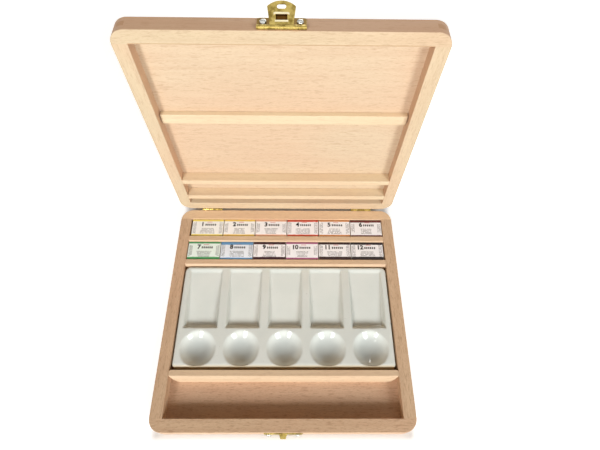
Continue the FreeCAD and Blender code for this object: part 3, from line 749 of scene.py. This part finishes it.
def softened(node: str, ease: float, material: bpy.types.Material, body: str,
             segments: int = 2) -> bpy.types.Object:
    """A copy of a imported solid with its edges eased.

    Args:
        node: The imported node.
        ease: How far its edges are eased, in millimetres.
        material: Its finish.
        body: The body that it rides on.
        segments: How many steps round an edge.

    Returns:
        The piece, which stands for the node.
    """
    mesh = bmesh.new()
    mesh.from_mesh(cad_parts[node].data)
    bmesh.ops.remove_doubles(mesh, verts=mesh.verts, dist=0.002 * MM)
    bmesh.ops.dissolve_limit(mesh, angle_limit=math.radians(1.0), verts=mesh.verts,
                             edges=mesh.edges)
    piece = as_piece(node + "_eased", mesh, material, body, [node], smooth=30)
    bevel = piece.modifiers.new("eased edges", "BEVEL")
    bevel.width = ease * MM
    bevel.segments = segments
    bevel.limit_method = "ANGLE"
    bevel.angle_limit = math.radians(50)
    return piece


def spanning(mesh: bmesh.types.BMesh, axis: int, least: float) -> List[bmesh.types.BMEdge]:
    """The edges of a mesh that reach further than a length along an axis."""
    return [edge for edge in mesh.edges
            if abs(edge.verts[0].co[axis] - edge.verts[1].co[axis]) > least]


def smooth_least(first: float, second: float, blend: float) -> float:
    """The smaller of two lengths, with the corner between them rounded over a blend."""
    near = max(blend - abs(first - second), 0.0) / blend
    return min(first, second) - near * near * blend / 4


# ---- The box's wood ----

@dataclass(frozen=True)
class Boards:
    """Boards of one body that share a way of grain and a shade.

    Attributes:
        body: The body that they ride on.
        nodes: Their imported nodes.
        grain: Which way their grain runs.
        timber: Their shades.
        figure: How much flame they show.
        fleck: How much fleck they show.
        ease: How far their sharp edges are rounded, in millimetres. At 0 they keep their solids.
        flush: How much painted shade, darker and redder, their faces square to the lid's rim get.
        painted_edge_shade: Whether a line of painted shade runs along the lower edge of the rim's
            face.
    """

    body: str
    nodes: Tuple[str, ...]
    grain: Grain
    timber: Timber
    figure: float
    fleck: float
    ease: float = 0.0
    flush: float = 0.0
    painted_edge_shade: bool = False


@dataclass
class WoodenCase:
    """The rails, panels, bars and strips, and their cuts of wood.

    Attributes:
        boards: The boards, in the order that they are cut.
        shift: How far along the log the first board is cut.
        step: How much further each next one is.
    """

    boards: Tuple[Boards, ...] = (
        Boards("base", ("base_front_rail",), Grain.ALONG_X, Timber.BASE, 0.2, 0.9),
        # The back rail's paler timber is painted light from the lid's bounce.
        Boards("base", ("base_back_rail",), Grain.ALONG_X, Timber.BACK, 0.2, 0.5),
        Boards("base", ("base_left_rail", "base_right_rail"), Grain.ALONG_Y, Timber.BASE,
               0.2, 0.9),
        Boards("lid", ("lid_front_rail",), Grain.ALONG_X, Timber.LID, 0.2, 0.7, flush=0.5,
               painted_edge_shade=True),
        Boards("lid", ("lid_back_rail",), Grain.ALONG_X, Timber.LID, 0.2, 0.5),
        Boards("lid", ("lid_left_rail", "lid_right_rail"), Grain.ALONG_Z, Timber.LID,
               0.2, 0.6, flush=0.5),
        Boards("base", ("base_bottom_panel",), Grain.ALONG_X, Timber.FLOOR, 0.3, 0.8),
        Boards("lid", ("lid_panel",), Grain.ALONG_X, Timber.VENEER, 0.25, 0.8),
        Boards("base", ("palette_front_bar", "front_pan_bar", "back_pan_bar"), Grain.ALONG_X,
               Timber.BAR, 0.15, 0.4, 0.35),
        Boards("lid", ("lid_back_pan_strip", "lid_front_pan_strip", "lid_middle_batten"),
               Grain.ALONG_X, Timber.STRIP, 0.15, 0.4, 0.45))
    shift: float = 1.0
    step: float = 0.737

    def build(self) -> None:
        """Give every board its own cut of wood."""
        shift = self.shift
        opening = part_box("lid_right_rail")[0].x
        for cut in self.boards:
            for node in cut.nodes:
                shift += self.step
                painted_edge_shade = (opening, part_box(node)[0].z) if cut.painted_edge_shade else None
                wood = Beech("beech_" + node, cut.grain, cut.timber, shift, cut.figure,
                             cut.fleck, cut.flush, painted_edge_shade).material()
                if cut.ease:
                    softened(node, cut.ease, wood, cut.body, segments=3)
                else:
                    dress([node], wood)


# ---- The palette ----

@dataclass
class MixingPalette:
    """A glazed slab with slanting wells behind and round wells in front, in millimetres.

    Attributes:
        low: The slab's lowest corner.
        high: Its highest corner.
        corner: The radius of its corners in plan.
        edge: How far its top falls at the sides and back.
        edge_run: How far in that fall starts.
        lip: How far its top falls at the front.
        lip_run: How far in that fall starts.
        columns: How many wells a row has.
        border: From the side to the outer wells.
        rib: The wall between two slanting wells.
        back_border: From the back to the slanting wells.
        slant_length: The slanting wells' length.
        slant_shallow: Their depth at the back.
        slant_deep: Their depth at the front.
        front_slope: How far their front wall leans.
        side_slope: How far their side walls lean.
        well_floor_blend: The roundness of the corner between floor and side walls.
        well_end_blend: The roundness of the corner between floor and end walls.
        well_rim_blend: The roundness of their upper edge.
        round_radius: The round wells' radius.
        round_depth: Their depth.
        round_power: Their profile's power: 2 for a paraboloid, more for a flatter floor.
        round_rim_blend: The roundness of their upper edge.
        round_border: From the front to the round wells.
        foot: The foot's steps: inset from the rim, and height.
        cell: The spacing of the grid that it is carved from.
    """

    low: Vector = field(default_factory=lambda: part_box("palette")[0] / MM)
    high: Vector = field(default_factory=lambda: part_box("palette")[1] / MM)
    corner: float = 5.0
    edge: float = 1.9
    edge_run: float = 2.2
    lip: float = 5.0
    lip_run: float = 4.6
    columns: int = 5
    border: float = 5.2
    rib: float = 7.3
    back_border: float = 3.6
    slant_length: float = 54.7
    slant_shallow: float = 1.0
    slant_deep: float = 5.6
    front_slope: float = 3.4
    side_slope: float = 1.9
    well_floor_blend: float = 2.6
    well_end_blend: float = 1.6
    well_rim_blend: float = 1.3
    round_radius: float = 15.2
    round_depth: float = 7.0
    round_power: float = 2.2
    round_rim_blend: float = 0.9
    round_border: float = 1.8
    foot: Tuple[Tuple[float, float], ...] = ((0.0, 0.8), (0.25, 0.2), (1.0, 0.0), (6.0, 0.0),
                                             (6.4, 0.6))
    cell: float = 0.62

    def __post_init__(self) -> None:
        """Work out the places that follow from the slab's size."""
        self.length = self.high.x - self.low.x
        self.depth = self.high.y - self.low.y
        self.middle = (self.high.y + self.low.y) / 2
        self.base = self.low.z
        self.top = self.high.z
        self.well_width = (self.length - 2 * self.border
                           - (self.columns - 1) * self.rib) / self.columns
        self.pitch = self.well_width + self.rib
        self.slant_back = self.high.y - self.back_border
        self.slant_front = self.slant_back - self.slant_length
        self.round_y = self.low.y + self.round_border + self.round_radius

    def half_width_at(self, y: float) -> float:
        """Half the slab's width, round its corners.

        Args:
            y: How far behind the slab's middle.

        Returns:
            The half width.
        """
        past = abs(y) - (self.depth / 2 - self.corner)
        if past <= 0:
            return self.length / 2
        inset = self.corner - math.sqrt(max(self.corner ** 2 - past ** 2, 0.0))
        return self.length / 2 - inset

    def edge_drop(self, x: float, y: float) -> float:
        """How far the rim, or the front's deeper lip, falls.

        Args:
            x: How far right of the slab's middle.
            y: How far behind it.

        Returns:
            The fall below the flat top.
        """
        dx = abs(x) - (self.length / 2 - self.corner)
        dy = abs(y) - (self.depth / 2 - self.corner)
        if dx > 0 and dy > 0:
            inside = self.corner - math.hypot(dx, dy)
        else:
            inside = self.corner - max(dx, dy)
        short = min(max(1 - inside / self.edge_run, 0.0), 1.0)
        near = min(max(1 - (self.depth / 2 + y) / self.lip_run, 0.0), 1.0)
        return max(self.edge * (1 - math.sqrt(1 - short * short)),
                   self.lip * (1 - math.sqrt(1 - near * near)))

    def well_depth(self, x: float, y: float) -> float:
        """How deep a well is.

        Args:
            x: The place's x in the box.
            y: Its y in the box.

        Returns:
            The depth below the flat top, 0 between the wells.
        """
        number = round(x / self.pitch)
        limit = (self.columns - 1) // 2
        aside = abs(x - max(-limit, min(limit, number)) * self.pitch)
        away = math.hypot(aside, y - self.round_y) / self.round_radius
        bowl = self.round_depth * (1 - away ** self.round_power)
        share = (self.slant_back - y) / self.slant_length
        floor = self.slant_shallow + (self.slant_deep - self.slant_shallow) * share
        side = (self.well_width / 2 - aside) * self.slant_deep / self.side_slope
        ends = smooth_least((y - self.slant_front) * self.slant_deep / self.front_slope,
                            self.slant_back - y, 1.0)
        slant = smooth_least(smooth_least(floor, side, self.well_floor_blend), ends,
                             self.well_end_blend)
        return max(-smooth_least(-bowl, 0.0, self.round_rim_blend),
                   -smooth_least(-slant, 0.0, self.well_rim_blend), 0.0)

    def build(self) -> None:
        """Model the slab from a fine grid, carve its wells and close it with its foot."""
        mesh = bmesh.new()
        across, along = round(self.length / self.cell), round(self.depth / self.cell)
        bmesh.ops.create_grid(mesh, x_segments=across, y_segments=along, size=0.5)
        for vert in mesh.verts:
            y = vert.co.y * self.depth
            x = vert.co.x * 2 * self.half_width_at(y)
            drop = max(self.edge_drop(x, y), self.well_depth(x, y + self.middle))
            vert.co = Vector((x, y + self.middle, self.top - drop)) * MM
        self.close_under(mesh)
        bmesh.ops.recalc_face_normals(mesh, faces=mesh.faces)
        # The last three arguments place the painted shade in the round wells and the painted shadow
        # on the front lip.
        glaze = Porcelain("glaze", self.base * MM, (self.slant_front - 0.5) * MM,
                          ((self.top - 1.5) * MM, (self.top - self.round_depth) * MM),
                          self.low.y * MM)
        as_piece("palette_glazed", mesh, glaze.material(), "mixing_palette",
                 ["palette"], smooth=60)

    def close_under(self, mesh: bmesh.types.BMesh) -> None:
        """Extrude the rim down, turn it in under the slab and fill the hollow.

        Args:
            mesh: The carved top, open below.
        """
        rim = [edge for edge in mesh.edges if edge.is_boundary]
        for inset, height in self.foot:
            grown = bmesh.ops.extrude_edge_only(mesh, edges=rim)["geom"]
            rim = [item for item in grown if isinstance(item, bmesh.types.BMEdge)]
            for vert in {vert for edge in rim for vert in edge.verts}:
                x, y = vert.co.x / MM, vert.co.y / MM - self.middle
                room_x, room_y = self.length / 2 - inset, self.depth / 2 - inset
                x = max(-room_x, min(room_x, x))
                y = max(-room_y, min(room_y, y))
                vert.co = Vector((x, y + self.middle, self.base + height)) * MM
        bmesh.ops.remove_doubles(mesh, verts=mesh.verts, dist=0.001 * MM)
        rim = [edge for edge in mesh.edges if edge.is_boundary]
        bmesh.ops.holes_fill(mesh, edges=rim, sides=0)


# ---- The pans ----

class Row(Enum):
    """The two rows of pans, as the start of their nodes' names."""

    BACK = "back_pan"
    FRONT = "front_pan"


@dataclass(frozen=True)
class Label:
    """One label's colour, and how much of it has come over onto the top.

    Attributes:
        name: The colour's name, as in the record's slots.
        colour: The edge colour.
        back_edge: Its width along the top's back edge, in millimetres.
        front_edge: Its width along the top's front edge.
        swell: How far the paper arches above the tub.
        tint: How much the colour shows in the white of the paper.
    """

    name: str
    colour: Colour
    back_edge: float = 2.0
    front_edge: float = 1.7
    swell: float = 0.22
    tint: float = 0.03


@dataclass(frozen=True)
class Heading:
    """The number and the broken rule beside it, in millimetres from the sleeve's middle.

    Attributes:
        size: The number's type size.
        bold: How far its outline is spread.
        thick: Half its thickness.
        bevel: The bevel round it, which makes it bolder still.
        squeeze: The share of its thickness that is kept.
        right: The x that it ends at.
        back: The y of its middle.
        blocks: How many blocks make the rule.
        block: A block's size.
        first: The first block's x.
        pitch: From block to block.
        drop: How far the blocks lie in front of the number's middle.
        lift: How far the print's middle stands above the paper.
    """

    size: float = 6.2
    bold: float = 0.12
    thick: float = 0.02
    bevel: float = 0.14
    squeeze: float = 0.25
    right: float = -3.6
    back: float = 3.6
    blocks: int = 6
    block: Tuple[float, float, float] = (1.15, 2.1, 0.04)
    first: float = -1.9
    pitch: float = 1.85
    drop: float = 0.5
    lift: float = 0.05


@dataclass
class PaintPan:
    """One wrapped pan: its paper sleeve and the print on it, in millimetres.

    Attributes:
        row: The row that it lies in.
        number: Its place in the row, from the left.
        label: Its label's colours.
        figure: The number printed on it.
        heading: The print's layout.
        wall: The paper's thickness, loosely folded.
        fold: How far its long edges are rounded.
        trim: How much shorter each end is than the solid.
        sag: How far its top's edges lie below the solid's top.
        wave: How far its top waves.
        fold_steps: How many steps round a fold.
        cuts: How often its length and its depth are cut, to let the paper bend.
    """

    row: Row
    number: int
    label: Label
    figure: int
    heading: Heading = Heading()
    wall: float = 0.3
    fold: float = 0.7
    trim: float = 0.28
    sag: float = 0.12
    wave: float = 0.05
    fold_steps: int = 4
    cuts: Tuple[int, int] = (11, 9)

    def __post_init__(self) -> None:
        """Read the sleeve's size and place from its solid."""
        self.body = f"{self.row.value}_{self.number}"
        low, high = (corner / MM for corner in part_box(self.body + "_wrapper"))
        self.length, self.depth, self.height = high - low
        self.length -= 2 * self.trim
        self.centre = Vector(((low.x + high.x) / 2, (low.y + high.y) / 2, low.z))
        self.slot = "label_" + self.label.name

    def build(self) -> None:
        """Fold the sleeve, print it and dress the tub."""
        self.build_sleeve()
        self.build_print()
        tub = Plastic("tub_" + self.body, self.label.colour)
        dress([self.body + "_tub"], tub.material())

    def rise(self, x: float, y: float) -> float:
        """How far the paper's top stands above the solid's.

        Args:
            x: How far right of the sleeve's middle.
            y: How far behind it.

        Returns:
            The height, below 0 near the edges.
        """
        u, v = x / (self.length / 2), y / (self.depth / 2)
        swell = (1 - u * u) * (1 - v * v)
        wave = math.sin(3.1 * u + self.figure) * math.sin(2.3 * v + 2 * self.figure)
        return self.label.swell * swell - self.sag + self.wave * wave * (1 - v * v)

    def build_sleeve(self) -> None:
        """A paper tube round the tub: folded long edges, a crowned top and open ends."""
        mesh = bmesh.new()
        bmesh.ops.create_cube(mesh, size=1.0)
        bmesh.ops.scale(mesh, vec=(self.length, self.depth, self.height), verts=mesh.verts)
        bmesh.ops.bevel(mesh, geom=spanning(mesh, 0, 1), offset=self.fold, offset_type="OFFSET",
                        affect="EDGES", segments=self.fold_steps, profile=0.5, material=-1)
        ends = [face for face in mesh.faces if abs(face.normal.x) > 0.9]
        bmesh.ops.delete(mesh, geom=ends, context="FACES_ONLY")
        for axis, (cuts, least) in enumerate(zip(self.cuts, (1, self.depth / 2))):
            bmesh.ops.subdivide_edges(mesh, edges=spanning(mesh, axis, least), cuts=cuts,
                                      use_grid_fill=True)
        for vert in mesh.verts:
            if vert.co.z > 0:
                vert.co.z += self.rise(vert.co.x, vert.co.y)
            vert.co += self.centre + Vector((0, 0, self.height / 2))
            vert.co *= MM
        bmesh.ops.recalc_face_normals(mesh, faces=mesh.faces)
        bmesh.ops.solidify(mesh, geom=mesh.faces[:], thickness=self.wall * MM)
        bmesh.ops.recalc_face_normals(mesh, faces=mesh.faces)
        paper = LabelPaper("paper_" + self.body, self.label.colour, self.centre.xy[:],
                           self.length / 2, self.depth / 2, self.label.back_edge,
                           self.label.front_edge, 1.7 * self.figure, self.label.tint)
        as_piece(self.body + "_sleeve", mesh, paper.material(), self.body,
                 [self.body + "_wrapper"], smooth=50)

    def build_print(self) -> None:
        """The pan's number and a broken rule beside it, lying on the paper."""
        layout = self.heading
        curve = bpy.data.curves.new("number", "FONT")
        curve.body = str(self.figure)
        curve.size = layout.size * MM
        curve.align_x, curve.align_y = "RIGHT", "CENTER"
        curve.offset = layout.bold * MM
        curve.extrude = layout.thick * MM
        curve.bevel_depth = layout.bevel * MM
        curve.bevel_resolution = 0
        holder = set_out("number", curve)
        bpy.context.view_layer.update()
        mesh = bmesh.new()
        data = bpy.data.meshes.new_from_object(holder)
        mesh.from_mesh(data)
        bpy.data.objects.remove(holder)
        bpy.data.curves.remove(curve)
        bpy.data.meshes.remove(data)
        bmesh.ops.scale(mesh, vec=(1, 1, layout.squeeze), verts=mesh.verts)
        bmesh.ops.translate(mesh, vec=(layout.right * MM, 0, 0), verts=mesh.verts)
        for number in range(layout.blocks):
            block = bmesh.ops.create_cube(mesh, size=1.0)["verts"]
            bmesh.ops.scale(mesh, vec=Vector(layout.block) * MM, verts=block)
            place = Vector((layout.first + number * layout.pitch, -layout.drop, 0)) * MM
            bmesh.ops.translate(mesh, vec=place, verts=block)
        bmesh.ops.remove_doubles(mesh, verts=mesh.verts, dist=0.001 * MM)
        for vert in mesh.verts:
            x, y = vert.co.x / MM, vert.co.y / MM + layout.back
            height = self.height + self.rise(x, y) + layout.lift
            vert.co = (self.centre + Vector((x, y, height))) * MM + Vector((0, 0, vert.co.z))
        bmesh.ops.recalc_face_normals(mesh, faces=mesh.faces)
        ink = Ink("ink_" + self.body, srgb(44, 40, 42))
        as_piece(self.body + "_print", mesh, ink.material(), self.body, smooth=None)


@dataclass
class PanRows:
    """All the pans, with the labels of each row from the left."""

    back: Tuple[Label, ...] = (
        Label("lemon", srgb(250, 230, 116), 2.2, 1.8, tint=0.08),
        Label("golden_yellow", srgb(248, 212, 104), 2.1, 1.8, tint=0.07),
        Label("salmon", srgb(244, 188, 154), 2.1, 1.8, tint=0.06),
        Label("vermilion", srgb(212, 84, 54), 2.4, 1.8, tint=0.04),
        Label("ochre", srgb(218, 144, 80)), Label("red_brown", srgb(104, 34, 26), 2.8, 1.5))
    front: Tuple[Label, ...] = (
        Label("green", srgb(84, 164, 104), 1.9, 2.4, tint=0.13),
        Label("blue", srgb(104, 158, 206), 3.2, 1.7, 0.5, 0.14),
        Label("maroon", srgb(58, 12, 26), 2.6, 2.6), Label("mauve", srgb(174, 98, 138), 2.0, 1.9),
        Label("umber", srgb(48, 16, 14), 2.5, 3.1), Label("black", srgb(28, 8, 10), 2.6, 3.1))

    def build(self) -> None:
        """Build both rows, numbered on from the back row to the front."""
        figure = 0
        for row, labels in ((Row.BACK, self.back), (Row.FRONT, self.front)):
            for number, label in enumerate(labels, 1):
                figure += 1
                PaintPan(row, number, label, figure).build()


# ---- Brass and screws ----

@dataclass
class Hardware:
    """Hinges, latch and screws. The sheet pieces are eased copies of their solids.

    Attributes:
        ease: How far the sheet's edges are eased, in millimetres.
        flap_ease: How far the flap's edges are.
        axis: The y and z of the latch's pin with the lid open, in millimetres.
        lean: How far the resting flap rises over Y, in degrees.
        sheets: The sheet pieces' nodes, bodies and slots.
        rods: The pins' nodes.
        brass_screws: The nodes of the brass screws.
        steel_screws: The nodes of the zinc-plated ones.
    """

    ease: float = 0.12
    flap_ease: float = 0.22
    axis: Tuple[float, float] = (99.582, 219.882)
    lean: float = 37.3
    sheets: Tuple[Tuple[str, str, str], ...] = (
        ("left_hinge_base_leaf", "base", "hinge_brass"),
        ("right_hinge_base_leaf", "base", "hinge_brass"),
        ("left_hinge_lid_leaf", "lid", "hinge_brass"),
        ("right_hinge_lid_leaf", "lid", "hinge_brass"),
        ("catch_plate", "base", "latch_brass"),
        ("latch_plate", "lid", "latch_brass"),
        ("latch_flap", "flap", "latch_brass"))
    rods: Tuple[str, ...] = ("left_hinge_pin", "right_hinge_pin", "latch_pin")
    brass_screws: Tuple[str, ...] = ("base_hinge_screws", "lid_hinge_screws")
    steel_screws: Tuple[str, ...] = ("catch_plate_screws", "latch_plate_screws")

    def flap_brass(self) -> Brass:
        """The flap's brass: painted highlights on two lips, and painted shade in the rougher pocket
        between them.
        """
        # pale is the painted highlight on the window's lips; the dark patch is painted shade in the
        # pocket.
        face, pale = (-0.6, 0.78), srgb(238, 226, 190)
        return Brass("brass_flap", patches=(
            Patch(self.axis, self.lean, 4.6, (7.5, 8.5), face, pale, soft=0.25),
            Patch(self.axis, self.lean, 3.9, (3.5, 4.3), face, pale, soft=0.25),
            Patch(self.axis, self.lean, 3.55, (4.35, 7.45), (0.78, 2.95), srgb(92, 62, 24),
                  0.3)))

    def plate_brass(self) -> Brass:
        """The latch plate's brass, a little rougher over its flat and darker there with a painted
        dark reflection.
        """
        # Painted dark reflection over the plate's flat, which is also a little rougher.
        return Brass("brass_plate", patches=(
            Patch(self.axis, 0.0, 14.6, (2.0, 9.4), (-2.0, 2.0), srgb(120, 94, 42), 0.1, 0.7),))

    def build(self) -> None:
        """Ease the sheet pieces, and plate the rods and screws."""
        plating = {"hinge_brass": Brass("brass_hinge").material(),
                   "latch_brass": Brass("brass_latch").material(),
                   "latch_flap": self.flap_brass().material(),
                   "latch_plate": self.plate_brass().material()}
        for node, body, slot in self.sheets:
            ease = self.flap_ease if node == "latch_flap" else self.ease
            softened(node, ease, plating.get(node, plating[slot]), body)
        dress(self.rods, Brass("brass_rod", shine=0.18).material())
        dress(self.brass_screws, plating["hinge_brass"])
        dress(self.steel_screws, Steel("zinc").material())


# ---- The studio ----

@dataclass(frozen=True)
class Lamp:
    """A soft lamp, turned to the box.

    Attributes:
        name: Its name.
        aside: How far round from straight in front it stands, in degrees, positive to the right.
        above: How high it stands over the horizon, in degrees.
        width: Its width, in millimetres.
        height: Its height, in millimetres.
        power: Its power, in watts.
        colour: The colour of its light.
        reach: How far it stands from the middle of the floor, in millimetres.
    """

    name: str
    aside: float
    above: float
    width: float
    height: float
    power: float
    colour: Colour
    reach: float = 4200.0

    def place(self) -> Vector:
        """Where it stands, in millimetres."""
        aside, above = math.radians(self.aside), math.radians(self.above)
        return self.reach * Vector((math.sin(aside) * math.cos(above),
                                    -math.cos(aside) * math.cos(above), math.sin(above)))


@dataclass
class Studio:
    """A pale floor, soft light and the camera, in millimetres and degrees.

    Attributes:
        lamps: The lamps.
        target: The place that they point at.
        eye: The camera's place.
        pitch: How far down it looks.
        yaw: How far it is turned to the right.
        roll: How far it leans to the left.
        focal_px: Its focal length in pixels.
        frame_px: The picture's width in pixels.
        floor_half: Half the floor's side.
        floor_grey: How pale the floor is, from 0 to 1.
        glow: How strongly it glows to the eye.
        shade: How far in and out of the box's outline its shade on the floor fades.
        fill: The colour of the faint light from all round.
        fill_strength: Its strength.
    """

    lamps: Tuple[Lamp, ...] = (
        Lamp("right_window", 34, 28.0, 1260, 1260, 118.0, (0.96, 0.99, 1.0)),
        Lamp("left_window", -23, 28.0, 900, 1260, 127.0, (1.0, 0.98, 0.96)),
        Lamp("rear_window", 172, 18.0, 1500, 1260, 36.0, (1.0, 0.98, 0.95)),
        Lamp("right_bulb", 41, 52, 180, 240, 2.0, WHITE),
        Lamp("left_bulb", -26, 50, 180, 240, 2.0, (1.0, 0.99, 0.97)))
    target: Tuple[float, float, float] = (0, 20, 60)
    eye: Tuple[float, float, float] = (8.696, -129.1, 377.57)
    pitch: float = 59.55
    yaw: float = 1.27
    roll: float = 1.36
    focal_px: float = 424.37
    frame_px: float = 600.0
    floor_half: float = 3000.0
    floor_grey: float = 0.80
    glow: float = 0.62
    shade: float = 4.0
    fill: Colour = (1.0, 0.64, 0.32)
    fill_strength: float = 0.11

    def build(self) -> None:
        """Set the stage."""
        self.build_camera()
        self.build_floor()
        self.build_world()
        for lamp in self.lamps:
            self.build_lamp(lamp)

    def build_camera(self) -> None:
        """Aim the camera and make it the scene's."""
        down, turn, lean = map(math.radians, (self.pitch, self.yaw, self.roll))
        ahead = Vector((math.sin(turn) * math.cos(down), math.cos(turn) * math.cos(down),
                        -math.sin(down)))
        level = ahead.cross(Vector((0, 0, 1))).normalized()
        above = level.cross(ahead)
        right = math.cos(lean) * level + math.sin(lean) * above
        top = math.cos(lean) * above - math.sin(lean) * level
        data = bpy.data.cameras.new("camera")
        data.sensor_fit = "HORIZONTAL"
        data.sensor_width = 36.0
        data.lens = self.focal_px / self.frame_px * data.sensor_width
        data.clip_start = 0.01
        camera = set_out("camera", data)
        axes = Matrix((right, top, -ahead)).transposed().to_4x4()
        camera.matrix_world = Matrix.Translation(Vector(self.eye) * MM) @ axes
        bpy.context.scene.camera = camera

    def build_floor(self) -> None:
        """A pale floor that glows white to the eye, except in the box's own shade."""
        mesh = bmesh.new()
        bmesh.ops.create_grid(mesh, x_segments=2, y_segments=2, size=self.floor_half * MM)
        data = bpy.data.meshes.new("floor")
        mesh.to_mesh(data)
        mesh.free()
        floor = set_out("floor", data)
        shader = Shader("floor")
        shader.finish(Base_Color=[self.floor_grey] * 3, Roughness=0.9)
        x, y, _z = shader.parts("Object")
        low, high = CAD_BOX
        reach = self.shade * MM
        inside = (abs(x).above(high[0] + reach, high[0] - reach)
                  * y.above(low[1] - reach, low[1] + reach)
                  * y.above(high[1] + 2 * reach, high[1] + reach))
        path = shader.node("ShaderNodeLightPath")
        seen = Value(shader, path.outputs["Is Camera Ray"]).most(
            Value(shader, path.outputs["Is Glossy Ray"]))
        plain = shader.surface.outputs[0]
        glow = shader.node("ShaderNodeEmission", None, {"Color": WHITE, "Strength": self.glow})
        both = shader.node("ShaderNodeAddShader", None, {0: plain, 1: glow.outputs[0]})
        choice = shader.node("ShaderNodeMixShader", None,
                             {0: seen * (1.0 - inside), 1: plain, 2: both.outputs[0]})
        shader.feed(shader.output.inputs["Surface"], choice.outputs[0])
        data.materials.append(shader.material)

    def build_world(self) -> None:
        """A faint warm light from all round, white to the eye and pale in what is shiny."""
        world = bpy.data.worlds.new("world")
        bpy.context.scene.world = world
        world.use_nodes = True
        nodes = Nodes(world.node_tree)
        path = nodes.node("ShaderNodeLightPath")
        seen = nodes.node("ShaderNodeBackground", None,
                          {"Color": self.fill, "Strength": self.fill_strength})
        white = nodes.node("ShaderNodeBackground", None, {"Color": WHITE, "Strength": 1.0})
        for ray in ("Is Transmission Ray", "Is Glossy Ray", "Is Camera Ray"):
            seen = nodes.node("ShaderNodeMixShader", None, {0: path.outputs[ray],
                                                            1: seen.outputs[0],
                                                            2: white.outputs[0]})
        nodes.node("ShaderNodeOutputWorld", None, {"Surface": seen.outputs[0]})

    def build_lamp(self, lamp: Lamp) -> None:
        """Set up a lamp, pointed at the box.

        Args:
            lamp: Its size, place and light.
        """
        data = bpy.data.lights.new(lamp.name, "AREA")
        data.shape = "RECTANGLE"
        data.size, data.size_y = lamp.width * MM, lamp.height * MM
        data.energy = lamp.power
        data.color = lamp.colour
        light = set_out(lamp.name, data)
        place = lamp.place()
        turn = (Vector(self.target) - place).to_track_quat("-Z", "Y").to_matrix().to_4x4()
        light.matrix_world = Matrix.Translation(place * MM) @ turn


def main() -> None:
    """Build the box's looks and its studio, in order."""
    logging.basicConfig(level=logging.INFO, format="%(name)s: %(message)s")
    bpy.context.scene.view_settings.view_transform = "Standard"
    WoodenCase().build()
    MixingPalette().build()
    PanRows().build()
    Hardware().build()
    Studio().build()


if __name__ == "__main__":
    main()
